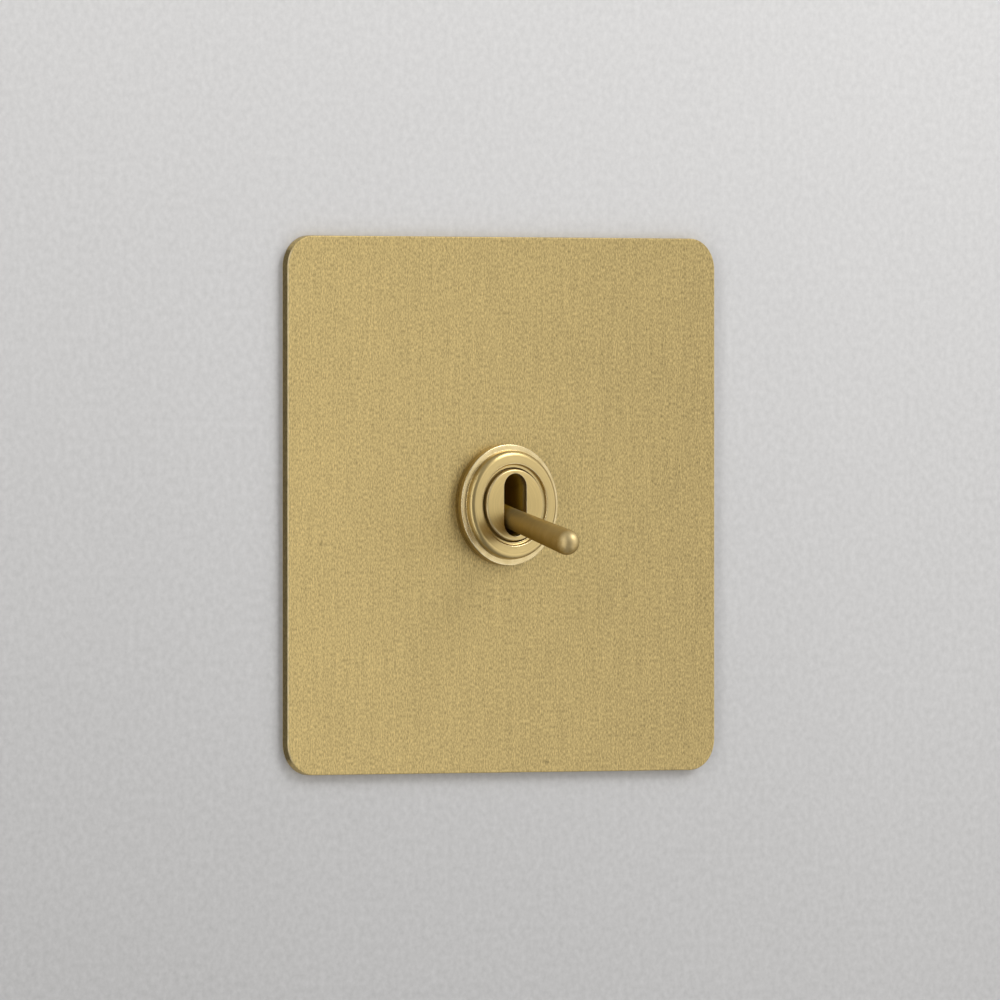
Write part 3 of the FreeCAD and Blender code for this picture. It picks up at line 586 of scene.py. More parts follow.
def geometry_tree(name, sizes, counts=(), places=()):
    """A tree that makes a geometry from these inputs and a material."""
    kinds = ((FLOAT, sizes), (INT, counts), (VECTOR, places), (MATERIAL, ["Material"]))
    inputs = [(label, kind, None) for kind, labels in kinds for label in labels]
    return new_tree(name, "GeometryNodeTree", inputs, [("Geometry", GEOMETRY)])


def end_tree(tree, geometry, given, target):
    """Make instances real, give them their material and end the tree."""
    real = add_node(tree, "GeometryNodeRealizeInstances", {"Geometry": geometry})
    inputs = {"Geometry": real, "Material": given["Material"]}
    fill(tree, target["Geometry"], add_node(tree, "GeometryNodeSetMaterial", inputs))
    return tree


def cylinder(tree, steps, radius, depth):
    inputs = {"Vertices": steps, "Radius": radius, "Depth": depth}
    return add_node(tree, "GeometryNodeMeshCylinder", inputs)


def block(tree, x, y, z):
    return add_node(tree, "GeometryNodeMeshCube", {"Size": combine(tree, x, y, z)})


def moved(tree, geometry, place, turn=(0, 0, 0)):
    inputs = {"Geometry": geometry, "Translation": place, "Rotation": turn}
    return add_node(tree, "GeometryNodeTransform", inputs)


def joined(tree, meshes):
    return add_node(
        tree, "GeometryNodeMeshBoolean", {"Mesh 2": meshes}, operation="UNION", solver="EXACT"
    )


def cut(tree, mesh, cutters):
    inputs = {"Mesh 1": mesh, "Mesh 2": cutters}
    return add_node(tree, "GeometryNodeMeshBoolean", inputs, operation="DIFFERENCE", solver="EXACT")


def row_of_screws():
    """Slotted screws in a row, their heads towards +Y."""
    sizes = ["Shank Radius", "Shank Length", "Head Radius", "Head Height", "Slot Width", "Slot Depth"]
    tree, given, target = geometry_tree("row_of_screws", sizes, ["Count"], ["Start", "Step"])

    def rod(radius, depth, share):
        made = cylinder(tree, ROD_STEPS, given[radius], given[depth])
        middle = combine(tree, y=add_math(tree, "MULTIPLY", given[depth], share))
        return moved(tree, made, middle, UPRIGHT)

    shank = rod("Shank Radius", "Shank Length", -0.5)
    whole = joined(tree, [shank, rod("Head Radius", "Head Height", 0.5)])
    across = add_math(tree, "MULTIPLY", given["Head Radius"], 4.0)
    deep = add_math(tree, "MULTIPLY", given["Slot Depth"], 2.0)
    cutter = block(tree, across, deep, given["Slot Width"])
    cutter = moved(tree, cutter, combine(tree, y=given["Head Height"]))
    inputs = {"Count": given["Count"], "Start Location": given["Start"], "Offset": given["Step"]}
    row = add_node(tree, "GeometryNodeMeshLine", inputs)
    inputs = {"Points": row, "Instance": cut(tree, whole, [cutter])}
    return end_tree(tree, add_node(tree, "GeometryNodeInstanceOnPoints", inputs), given, target)


def coil_spring():
    """A round wire wound in a spiral along an axis."""
    sizes = ["Turns", "Coil Radius", "Wire Radius", "Height"]
    tree, given, target = geometry_tree("coil_spring", sizes, places=["Foot", "Lean"])
    inputs = {"Resolution": COIL_STEPS, "Rotations": given["Turns"], "Height": given["Height"]}
    inputs.update({end + " Radius": given["Coil Radius"] for end in ("Start", "End")})
    spiral = add_node(tree, "GeometryNodeCurveSpiral", inputs)
    inputs = {"Resolution": WIRE_STEPS, "Radius": given["Wire Radius"]}
    wire = add_node(tree, "GeometryNodeCurvePrimitiveCircle", inputs)
    inputs = {"Curve": spiral, "Profile Curve": wire, "Fill Caps": True}
    swept = add_node(tree, "GeometryNodeCurveToMesh", inputs)
    return end_tree(tree, moved(tree, swept, given["Foot"], given["Lean"]), given, target)


def toothed_washer():
    """A flat ring with gaps cut outwards from its hole."""
    sizes = ["Radius", "Hole Radius", "Thickness", "Gap Width", "Gap Depth"]
    tree, given, target = geometry_tree("toothed_washer", sizes, ["Teeth"], ["Middle"])
    tall = add_math(tree, "MULTIPLY", given["Thickness"], 3.0)
    blank = cylinder(tree, WASHER_STEPS, given["Radius"], given["Thickness"])
    hole = cylinder(tree, WASHER_STEPS, given["Hole Radius"], tall)
    gap = block(tree, add_math(tree, "MULTIPLY", given["Gap Depth"], 2.0), given["Gap Width"], tall)
    inputs = {"Vertices": given["Teeth"], "Radius": given["Hole Radius"]}
    spots = add_node(tree, "GeometryNodeMeshCircle", inputs)
    outwards = add_node(
        tree,
        "FunctionNodeAlignRotationToVector",
        {"Vector": add_node(tree, "GeometryNodeInputPosition")},
        axis="X",
        pivot_axis="Z",
    )
    inputs = {"Points": spots, "Instance": gap, "Rotation": outwards}
    gaps = add_node(tree, "GeometryNodeInstanceOnPoints", inputs)
    cutters = add_node(tree, "GeometryNodeRealizeInstances", {"Geometry": gaps})
    ring = moved(tree, cut(tree, blank, [hole, cutters]), given["Middle"], UPRIGHT)
    return end_tree(tree, ring, given, target)


def grow(name, tree, values):
    """The skin that a Geometry Nodes tree makes from its inputs."""
    holder = add_object(name, bpy.data.meshes.new(name))
    modifier = holder.modifiers.new(name, "NODES")
    modifier.node_group = tree
    for item in tree.interface.items_tree:
        if item.in_out == "INPUT":
            modifier[item.identifier] = values[item.name]
    bm = skin_of(evaluated(holder))
    bmesh.ops.remove_doubles(bm, verts=bm.verts, dist=MERGE)
    bmesh.ops.recalc_face_normals(bm, faces=bm.faces)
    return bm


# shared effects of the finishes


def effect_tree(name, outputs, **numbers):
    """A group that reads a Vector and numbers and puts out values that change over the surface."""
    inputs = [("Vector", VECTOR, None)]
    inputs += [(title(key), FLOAT, default) for key, default in numbers.items()]
    return new_tree(name, "ShaderNodeTree", inputs, [(label, FLOAT) for label in outputs])


def upright_grain():
    """Short flecks and long faint streaks along Z, as left by an upright sanding belt."""
    tree, given, target = effect_tree("upright_grain", ["Flecks", "Streaks"], across=3000.0, along=1000.0)
    across, along = given["Across"], given["Along"]
    wide = add_math(tree, "MULTIPLY", across, 0.7)
    tall = add_math(tree, "MULTIPLY", along, 0.05)
    for label, scale, detail in (
        ("Flecks", combine(tree, across, across, along), 1.0),
        ("Streaks", combine(tree, wide, wide, tall), 2.0),
    ):
        stretched = vector_math(tree, "MULTIPLY", given["Vector"], scale)
        fill(tree, target[label], noise(tree, stretched, 1.0, detail, 0.5))
    return tree


def turned_lines():
    """Fine lines around the Y axis, as left by a lathe tool."""
    tree, given, target = effect_tree("turned_lines", ["Lines"], fineness=6000.0)
    flat = vector_math(tree, "MULTIPLY", given["Vector"], (1, 0, 1))
    radius = vector_math(tree, "LENGTH", flat, output="Value")
    across = add_math(tree, "MULTIPLY", radius, given["Fineness"])
    along = add_math(tree, "MULTIPLY", axes(tree, given["Vector"])["Y"], given["Fineness"])
    waver = noise(tree, given["Vector"], 500.0, 1.0, 0.5)
    point = combine(tree, across, along, waver)
    fill(tree, target["Lines"], noise(tree, point, 1.0, 2.0, 0.6))
    return tree


def handled_surface():
    """Broad soft patches from handling and a few small specks."""
    tree, given, target = effect_tree(
        "handled_surface", ["Patches", "Specks"], patch_scale=90.0, speck_scale=260.0
    )
    fill(tree, target["Patches"], noise(tree, given["Vector"], given["Patch Scale"], 3.0, 0.55))
    inputs = {"Vector": given["Vector"], "Scale": given["Speck Scale"]}
    dots = add_node(tree, "ShaderNodeTexVoronoi", inputs).node.outputs
    pick = add_node(tree, "ShaderNodeSeparateColor", {0: dots["Color"]})
    few = add_math(tree, "GREATER_THAN", pick, 0.9)
    near = ramp(tree, dots["Distance"], 0.03, 0.07, 1.0, 0.0)
    fill(tree, target["Specks"], add_math(tree, "MULTIPLY", near, few))
    return tree


def worn_edges():
    """Where handling has polished the rounded outer edges; on the front brass their pale colour also
    stands for painted highlight lines.
    """
    tree, given, target = effect_tree("worn_edges", ["Wear"], amount=1.0)
    edge = add_node(tree, "ShaderNodeAttribute", output="Fac", attribute_name="edge")
    broken = ramp(tree, noise(tree, given["Vector"], 700.0, 3.0, 0.6), 0.35, 0.6, 0.45)
    wear = add_math(tree, "MULTIPLY", edge, broken)
    fill(tree, target["Wear"], add_math(tree, "MULTIPLY", wear, given["Amount"]))
    return tree


def sunk_grime():
    """Painted shade that starts at one place along Y and is full at another."""
    tree, given, target = effect_tree("sunk_grime", ["Grime"], start=0.0, full=0.001)
    deep = ramp(tree, axes(tree, given["Vector"])["Y"], given["Start"], given["Full"], kind="SMOOTHSTEP")
    uneven = sway(tree, noise(tree, given["Vector"], 900.0, 3.0, 0.6), 0.2, 1.0)
    fill(tree, target["Grime"], add_math(tree, "MULTIPLY", deep, uneven))
    return tree


def fine_skin():
    """The even fine texture of a moulding or of plating."""
    tree, given, target = effect_tree("fine_skin", ["Skin", "Blotches"], fineness=4000.0)
    inputs = {"Vector": given["Vector"], "Scale": given["Fineness"]}
    fill(tree, target["Skin"], add_node(tree, "ShaderNodeTexVoronoi", inputs, feature="SMOOTH_F1"))
    broad = add_math(tree, "MULTIPLY", given["Fineness"], 0.08)
    fill(tree, target["Blotches"], noise(tree, given["Vector"], broad, 4.0, 0.6))
    return tree


def effect(tree, maker, **inputs):
    """A shared effect, made once and placed in a material with its own values."""
    node = tree.nodes.new("ShaderNodeGroup")
    node.node_tree = bpy.data.node_groups.get(maker.__name__) or maker()
    for name, source in inputs.items():
        fill(tree, node.inputs[title(name)], source)
    return node.outputs


# finishes


def tint(tree, base, light):
    """A colour made lighter or darker by a factor that changes over the surface."""
    inputs = {0: tuple(base), "Scale": light}
    return add_node(tree, "ShaderNodeVectorMath", inputs, operation="SCALE")


def blend(tree, factor, first, second):
    """One colour that gives way to another."""
    node = tree.nodes.new("ShaderNodeMix")
    node.data_type = "RGBA"
    fill(tree, node.inputs[0], factor)
    for socket, source in ((node.inputs[6], first), (node.inputs[7], second)):
        fill(tree, socket, source if isinstance(source, bpy.types.NodeSocket) else (*source, 1.0))
    return node.outputs[2]


def new_material(name, metallic, **constants):
    """A material with its shader's constants set, its tree, its shader and the place on the piece."""
    material = bpy.data.materials.new(name)
    material.use_nodes = True
    tree = material.node_tree
    shader = tree.nodes["Principled BSDF"]
    for key, value in {"metallic": metallic, **constants}.items():
        shader.inputs[title(key).replace("Ior", "IOR")].default_value = value
    return material, tree, shader, add_node(tree, "ShaderNodeTexCoord", output="Object")


def surface(tree, shader, base, roughness, height, depth):
    """Colour, roughness and a bump of a depth in metres."""
    fill(tree, shader.inputs["Base Color"], base)
    fill(tree, shader.inputs["Roughness"], roughness)
    bump = add_node(tree, "ShaderNodeBump", {"Height": height, "Distance": depth, "Strength": 1.0})
    fill(tree, shader.inputs["Normal"], bump)


def drawn_along(tree, shader, way):
    """Stretch reflections along a direction of the piece's own."""
    ends = {"convert_from": "OBJECT", "convert_to": "WORLD"}
    turned = add_node(tree, "ShaderNodeVectorTransform", {0: way}, vector_type="VECTOR", **ends)
    fill(tree, shader.inputs["Tangent"], turned)


def satin_brass(name, base, flecks=0.72, streaks=0.2, patches=0.05, specks=0.3, tone=0.08, dull=0.36):
    """Brass sanded upright, with painted shade a little darker towards its right side and on its sheared
    upright sides, which are also rougher.
    """
    sizes = settings("plate")
    material, tree, shader, place = new_material(name, 0.45, specular_ior_level=0.1, anisotropic=0.3)
    drawn_along(tree, shader, (1, 0, 0))
    grain = effect(tree, upright_grain, vector=place, across=4600.0, along=2000.0)
    hands = effect(tree, handled_surface, vector=place, patch_scale=70.0, speck_scale=110.0)
    wear = effect(tree, worn_edges, vector=place, amount=0.6)["Wear"]
    shaded_from, shaded_to = sizes.front + sizes.dull_start, sizes.front + sizes.dull_full
    sides = effect(tree, sunk_grime, vector=place, start=shaded_from, full=shaded_to)["Grime"]
    x, y, z = axes(tree, place)
    half = sizes.side / 2
    height = add_math(tree, "ABSOLUTE", z)
    # Painted shade: the sides are darkened only where they are upright, not at the top and bottom
    # corners, which are left bright, and not next to the wall.
    upright = ramp(tree, height, half - sizes.bend_start, half - sizes.bend_full, 1.0, 0.0)
    before_back = ramp(tree, y, -sizes.dull_fade, -sizes.dull_end, 1.0, 0.0)
    # Painted highlight: the pale rubbed edges are kept to the upright edges, where they also stand for
    # highlight lines.
    wear = add_math(tree, "MULTIPLY", wear, upright)
    sides = add_math(tree, "MULTIPLY", add_math(tree, "MULTIPLY", sides, upright), before_back)
    light = total(
        tree,
        sway(tree, grain["Flecks"], flecks, 1.0),
        sway(tree, grain["Streaks"], streaks),
        sway(tree, hands["Patches"], patches),
        spread(tree, hands["Specks"], 0.0, -specks),
        # Painted shade: a little darker towards the plate's right side.
        sway(tree, ramp(tree, x, -half, half), -tone),
    )
    # The colour carries the painted shade of the sides, which is partly a dull sheared edge.
    body = tint(tree, base, add_math(tree, "MULTIPLY", light, spread(tree, sides, 1.0, dull)))
    roughness = total(
        tree,
        sway(tree, grain["Flecks"], 0.06, 0.4),
        sway(tree, hands["Patches"], 0.04),
        spread(tree, sides, 0.0, 0.1),
    )
    relief = total(tree, grain["Flecks"], spread(tree, grain["Streaks"], 0.0, 0.4))
    # Pale rubbed edges, partly painted highlight lines.
    shown = blend(tree, wear, body, settings("finishes").rubbed_brass)
    surface(tree, shader, shown, roughness, relief, 0.012 * MM)
    return material


def lathe_finish(
    name, base, rough, rubbed, polish=0.08, marks=0.45, drawn=None, axis=None, grime=None, **constants
):
    """Brass from a lathe.

    Marks is how much the tool's lines show and drawn how far they stretch reflections. The axis is
    a place and a turn of the piece's own axis, whose upper side is paler as painted light. The span for
    painted shade is two places along it.
    """
    material, tree, shader, place = new_material(name, 1.0, **constants)
    if axis:
        inputs = {"Vector": place, "Location": axis[0], "Rotation": axis[1]}
        place = add_node(tree, "ShaderNodeMapping", inputs, vector_type="TEXTURE")
    if drawn:
        drawn_along(tree, shader, vector_math(tree, "CROSS_PRODUCT", place, (0, 1, 0)))
        shader.inputs["Anisotropic"].default_value = drawn
        shader.inputs["Anisotropic Rotation"].default_value = 0.25
    lines = effect(tree, turned_lines, vector=place, fineness=2800.0)["Lines"]
    hands = effect(tree, handled_surface, vector=place, patch_scale=160.0, speck_scale=420.0)
    wear = effect(tree, worn_edges, vector=place, amount=rubbed)["Wear"]
    light = total(
        tree,
        sway(tree, lines, marks, 1.0),
        sway(tree, hands["Patches"], 0.14),
        spread(tree, hands["Specks"], 0.0, -0.25),
    )
    roughness = total(
        tree,
        sway(tree, lines, 0.05, rough),
        sway(tree, hands["Patches"], 0.06),
        spread(tree, wear, 0.0, -polish),
    )
    body = tint(tree, base, light)
    # Painted light: the dolly's own darker brass stands for its shaded underside, and its upper side is
    # blended to the paler turned brass as if lit from above.
    if axis:
        thick = settings("dolly").tip
        upper = ramp(tree, axes(tree, place)["Z"], -thick, thick)
        body = blend(tree, upper, body, tint(tree, settings("finishes").turned_brass, light))
    # Painted shade: the brass darkens between two places along the axis, deep in the slot.
    if grime:
        dark = effect(tree, sunk_grime, vector=place, start=grime[0], full=grime[1])["Grime"]
        body = blend(tree, dark, body, settings("finishes").old_grime)
        roughness = total(tree, roughness, spread(tree, dark, 0.0, 0.3))
    # Pale rubbed edges, which also stand for painted highlight lines.
    shown = blend(tree, wear, body, settings("finishes").rubbed_brass)
    surface(tree, shader, shown, roughness, lines, 0.004 * MM)
    return material


def turned_brass(name, base):
    return lathe_finish(name, base, rough=0.3, rubbed=0.9, drawn=0.6)


def slotted_brass(name, base):
    sizes = settings("bush")
    # Painted shade deep inside the slot.
    grime = (sizes.face + sizes.grime_start, sizes.face + sizes.grime_full)
    return lathe_finish(name, base, rough=0.38, rubbed=0.6, marks=0.25, drawn=0.3, grime=grime)


def dolly_brass(name, base, sheen=(0.3, 0.28, 0.22, 1.0)):
    sizes = settings("dolly")
    axis = (tuple(PIVOT), (THROW, 0, 0))
    # Painted shade on the stem where it lies in the slot.
    grime = (-sizes.stem_start - sizes.grime_start, -sizes.stem_start + sizes.grime_full)
    shine = {"rough": 0.54, "rubbed": 0.28, "polish": 0.25, "marks": 0.15, "specular_tint": sheen}
    return lathe_finish(name, base, axis=axis, grime=grime, **shine)


def plain_finish(
    name, base, relief, metallic, fineness, patch_scale, speck_scale,
    rubbed, contrast, patches, specks, paler,
):
    """What moulded and plated pieces share: a fine skin, handling and paler edges."""
    material, tree, shader, place = new_material(name, metallic)
    skin = effect(tree, fine_skin, vector=place, fineness=fineness)
    hands = effect(tree, handled_surface, vector=place, patch_scale=patch_scale, speck_scale=speck_scale)
    wear = effect(tree, worn_edges, vector=place, amount=rubbed)["Wear"]
    light = total(
        tree,
        sway(tree, skin["Blotches"], contrast, 1.0),
        sway(tree, hands["Patches"], patches),
        spread(tree, hands["Specks"], 0.0, specks),
    )
    shown = blend(tree, wear, tint(tree, base, light), paler)
    roughness, height = relief(tree, skin, hands)
    roughness = total(tree, *roughness, spread(tree, wear, 0.0, -0.1))
    surface(tree, shader, shown, roughness, *height)
    return material


def raw_metal(name, base, rough=0.34, fineness=2600.0, contrast=0.12):
    """Stamped, drawn or plated metal with a fine uneven skin and polished edges."""

    def relief(tree, skin, _):
        roughness = [sway(tree, skin["Blotches"], 0.08, rough), sway(tree, skin["Skin"], 0.03)]
        return roughness, (total(tree, skin["Skin"], skin["Blotches"]), 0.006 * MM)

    bright = [min(1.0, 1.3 * part) for part in base]
    scales = {"fineness": fineness, "patch_scale": 220.0, "speck_scale": 700.0}
    tones = {"rubbed": 0.9, "contrast": contrast, "patches": 0.08, "specks": -0.3, "paler": bright}
    return plain_finish(name, base, relief, metallic=1.0, **scales, **tones)


def zinc_steel(name, base):
    return raw_metal(name, base, rough=0.38, fineness=1800.0, contrast=0.16)


def silver(name, base):
    return raw_metal(name, base, rough=0.28, fineness=5000.0, contrast=0.08)


def moulding(name, base, rough=0.46, paler=1.9):
    """Moulded plastic with a fine matt skin and edges rubbed paler."""

    def relief(tree, skin, hands):
        roughness = [sway(tree, skin["Skin"], 0.05, rough + 0.01), sway(tree, hands["Patches"], 0.06)]
        return roughness, (skin["Skin"], 0.016 * MM)

    pale = [min(0.9, paler * part) for part in base]
    scales = {"fineness": 3600.0, "patch_scale": 120.0, "speck_scale": 900.0}
    tones = {"rubbed": 0.7, "contrast": 0.15, "patches": 0.1, "specks": 0.3, "paler": pale}
    return plain_finish(name, base, relief, metallic=0.0, **scales, **tones)


def pale_nylon(name, base):
    return moulding(name, base, rough=0.4, paler=1.1)


def plaster(name, base):
    """The pale wall, seen only from its front, with painted shade darker towards its bottom and its left.
    """
    material, tree, shader, place = new_material(name, 0.0, specular_ior_level=0.2)
    broad = noise(tree, place, 45.0, 4.0, 0.6)
    fine = noise(tree, place, 900.0, 3.0, 0.6)
    far = settings("stage").tone_half
    x, _, z = axes(tree, place)
    light = total(
        tree,
        spread(tree, broad, 0.95, 0.98),
        sway(tree, fine, 0.14),
        # Painted shade: darker towards the bottom and the left.
        ramp(tree, z, -far, far, -0.23, 0.02),
        ramp(tree, x, -far, far, -0.06, 0.0),
    )
    relief = total(tree, broad, spread(tree, fine, 0.0, 0.08))
    surface(tree, shader, tint(tree, base, light), spread(tree, fine, 0.75, 0.9), relief, 0.12 * MM)
    behind = add_node(tree, "ShaderNodeNewGeometry", output="Backfacing")
    clear = add_node(tree, "ShaderNodeBsdfTransparent")
    mixed = add_node(tree, "ShaderNodeMixShader", {0: behind, 1: shader.outputs[0], 2: clear})
    fill(tree, tree.nodes["Material Output"].inputs["Surface"], mixed)
    return material


FINISHES = {
    "satin_brass": satin_brass,
    "turned_brass": turned_brass,
    "slotted_brass": slotted_brass,
    "dolly_brass": dolly_brass,
    "raw_brass": raw_metal,
    "zinc_steel": zinc_steel,
    "spring_steel": raw_metal,
    "silver": silver,
    "dark_moulding": moulding,
    "pale_nylon": pale_nylon,
    "wall": plaster,
}


def finish(name):
    """A finish in its own colour, made once."""
    full = name + "_finish"
    return bpy.data.materials.get(full) or FINISHES[name](full, getattr(settings("finishes"), name))


# pieces


def keyed_loop(directions, radius, flat, y):
    """A circle with two flats, at these directions around Y."""
    points = [(radius * math.cos(t), radius * math.sin(t)) for t in directions]
    return [(min(max(x, -flat), flat), y, z) for x, z in points]


def thread_loop(directions, y, start):
    """A loop around the bush's thread, which starts at a place along Y."""
    sizes = settings("bush")
    loop = []
    for t in directions:
        phase = (y - start) / sizes.pitch - t / (2 * math.pi)
        radius = sizes.barrel - sizes.thread_depth * abs(2 * (phase % 1.0) - 1)
        loop += keyed_loop([t], radius, sizes.flat, y)
    return loop


def directions_of(loop):
    return [math.atan2(z, x) for x, _, z in loop]


def plate_loop(inset, y, corner_steps=20, side_steps=24):
    """The plate's outline with its rounded corners, moved inwards."""
    sizes = settings("plate")
    radius = sizes.corner - inset
    straight = sizes.side / 2 - sizes.corner
    points = []
    for quarter in range(4):
        turn = Matrix.Rotation(quarter * math.pi / 2, 2)
        for step in range(corner_steps + 1):
            way = step / corner_steps * math.pi / 2
            corner = Vector((straight + radius * math.cos(way), straight + radius * math.sin(way)))
            points.append(turn @ corner)
        for step in range(1, side_steps):
            points.append(turn @ Vector((straight - 2 * straight * step / side_steps, straight + radius)))
    return [(x, y, z) for x, z in points]


def slot_loop(offset, y, end_steps=40, side_steps=44):
    """The outline of the bush's slot, moved outwards."""
    sizes = settings("bush")
    radius = sizes.slot + offset
    points = []
    for sign in (1, -1):
        for step in range(end_steps + 1):
            way = math.pi * step / end_steps
            rise = sizes.slot_end + radius * math.sin(way)
            points.append((sign * radius * math.cos(way), sign * rise))
        for step in range(1, side_steps):
            points.append((-sign * radius, sign * sizes.slot_end * (1 - 2 * step / side_steps)))
    return [(x, y, z) for x, z in points]


def rod_along_x(radius, half, middle, rounding=0.0):
    """A rod across the switch, its ends rounded."""
    profile = rounded([(0, -half, 0), (radius, -half, rounding), (radius, half, rounding), (0, half, 0)])
    bm = lathe(profile, ROD_STEPS)
    bm.transform(Matrix.Translation(middle) @ Matrix.Rotation(-math.pi / 2, 4, "Z"))
    bmesh.ops.recalc_face_normals(bm, faces=bm.faces)
    return bm


def in_dolly():
    """From the dolly's own axis to its place when it is down."""
    return Matrix.Translation(PIVOT) @ Matrix.Rotation(THROW, 4, "X")


class SWITCH_OT_front_plate(bpy.types.Operator):
    """Add the satin brass front plate"""

    bl_idname = "switch.front_plate"
    bl_label = "Front plate"

    def execute(self, context):
        sizes = settings("plate")
        corners = [
            (2 * sizes.edge, sizes.front, 0),
            (0, sizes.front, sizes.edge),
            (0, 0, sizes.back_edge),
            (2 * sizes.back_edge, 0, 0),
        ]
        loops = [plate_loop(inset, y) for inset, y in rounded(corners)]
        directions = directions_of(loops[0])
        for y in (0, sizes.front):
            loops.append(keyed_loop(directions, sizes.hole, sizes.hole_flat, y))
        add_piece("satin_plate", loft(loops), "front_plate", "satin_brass")
        return {"FINISHED"}


class SWITCH_OT_dolly_ring(bpy.types.Operator):
    """Add the turned ring around the dolly"""

    bl_idname = "switch.dolly_ring"
    bl_label = "Dolly ring"

    def execute(self, context):
        sizes, front = settings("ring"), settings("plate").front
        small = sizes.small_round
        band_outer = sizes.shoulder - sizes.ovolo
        corners = [
            (sizes.bore, front, small),
            (sizes.radius, front, sizes.foot_round),
            (sizes.radius, sizes.rim_top, sizes.rim_round),
            (sizes.shoulder, sizes.rim_top, small),
            *arc((band_outer, sizes.top + sizes.ovolo), sizes.ovolo, 0, -90),
            (sizes.band_inner, sizes.top, small),
            (sizes.eye, sizes.eye_top, small),
            (sizes.eye, sizes.eye_back, sizes.eye_round),
            (sizes.bore, sizes.eye_back, sizes.bore_round),
        ]

        # The rim's top gets part of the pale rubbed colour, partly wear and partly a painted highlight.
        def rubbed(point):
            outside = math.hypot(point.x, point.z) > sizes.shoulder
            on_top = point.y < sizes.rim_top + sizes.rim_round
            return sizes.rim_rubbed if outside and on_top else 0.0

        bm = lathe(rounded(corners, closed=True), RING_STEPS, closed=True)
        add_piece("turned_ring", bm, "dolly_ring", "turned_brass", rubbed=rubbed)
        return {"FINISHED"}


class SWITCH_OT_bush(bpy.types.Operator):
    """Add the threaded bush with its slot"""

    bl_idname = "switch.bush"
    bl_label = "Bush"

    def execute(self, context):
        sizes = settings("bush")
        small = sizes.slot_round
        mouth = [(0, sizes.back - 2 * small, 0), (0, sizes.face, small), (2 * small, sizes.face, 0)]
        head = [
            (sizes.head - 2 * sizes.head_round, sizes.face, 0),
            (sizes.head, sizes.face, sizes.head_round),
            (sizes.head, sizes.thread_start, small),
            (sizes.barrel, sizes.thread_start + sizes.barrel - sizes.head, 0),
        ]
        lip = [
            (sizes.neck, sizes.neck_back, 0),
            (sizes.lip, sizes.neck_back, 0.5 * small),
            (sizes.lip, sizes.back, small),
            (sizes.lip - 3 * small, sizes.back, 0),
        ]
        loops = [slot_loop(offset, y) for offset, y in rounded(mouth)]
        directions = directions_of(loops[0])
        *rim, (_, start) = rounded(head)
        loops += [keyed_loop(directions, radius, sizes.lip, y) for radius, y in rim]
        steps = int((sizes.barrel_back - start) / sizes.pitch * THREAD_STEPS)
        for step in range(steps):
            loops.append(thread_loop(directions, start + step / THREAD_STEPS * sizes.pitch, start))
        for radius in (sizes.barrel, sizes.neck):
            loops.append(keyed_loop(directions, radius, sizes.flat, sizes.barrel_back))
        loops += [keyed_loop(directions, radius, sizes.lip, y) for radius, y in rounded(lip)]
        loops += [slot_loop(small, sizes.back), slot_loop(0, sizes.back - small)]
        drill = rod_along_x(sizes.pin_hole, 1.2 * sizes.lip, PIVOT)
        bm = carve(loft(loops), drill, "DIFFERENCE")
        add_piece("slotted_bush", bm, "switch_bush", "slotted_brass")
        return {"FINISHED"}


class SWITCH_OT_dolly(bpy.types.Operator):
    """Add the lever and its pin"""

    bl_idname = "switch.dolly"
    bl_label = "Dolly"

    def execute(self, context):
        sizes = settings("dolly")
        small = sizes.tail_round
        tip = arc((0, sizes.tip - sizes.reach), sizes.tip, -90, 0)
        tip[0] = (0, -sizes.reach, 0)
        corners = [
            *tip,
            (sizes.stem, -sizes.stem_start, sizes.stem_round),
            (sizes.stem, -sizes.hub / 2, 0),
            (sizes.tail, -sizes.hub / 2, 0),
            (sizes.tail, sizes.tail_length, small),
            (sizes.bore, sizes.tail_length, small),
            (sizes.bore, sizes.bore_floor, 0),
            (0, sizes.bore_floor, 0),
        ]
        floor, beyond = sizes.bore_floor, 2 * sizes.reach
        bore = [(0, floor), (sizes.bore, floor), (sizes.bore, beyond), (0, beyond)]
        bm = lathe(rounded(corners), LEVER_STEPS)
        bm = carve(bm, rod_along_x(sizes.hub, sizes.hub_half, Vector(), small), "UNION")
        bm = carve(bm, lathe(bore, LEVER_STEPS), "DIFFERENCE")
        bm = carve(bm, rod_along_x(sizes.pin_hole, sizes.reach, Vector()), "DIFFERENCE")
        bm.transform(in_dolly())
        own = in_dolly().inverted()

        def rubbed(point):
            """All of the tip's front half, and less and less behind it."""
            from_tip = (own @ point).y + sizes.reach
            return min(max(1.5 - from_tip / sizes.tip, 0.0), 1.0)

        add_piece("dolly_lever", bm, "dolly", "dolly_brass", "dolly", rubbed)
        pin = rod_along_x(sizes.pin, sizes.pin_half, PIVOT, sizes.pin_round)
        add_piece("hinge_pin", pin, "pivot_pin", "spring_steel")
        return {"FINISHED"}


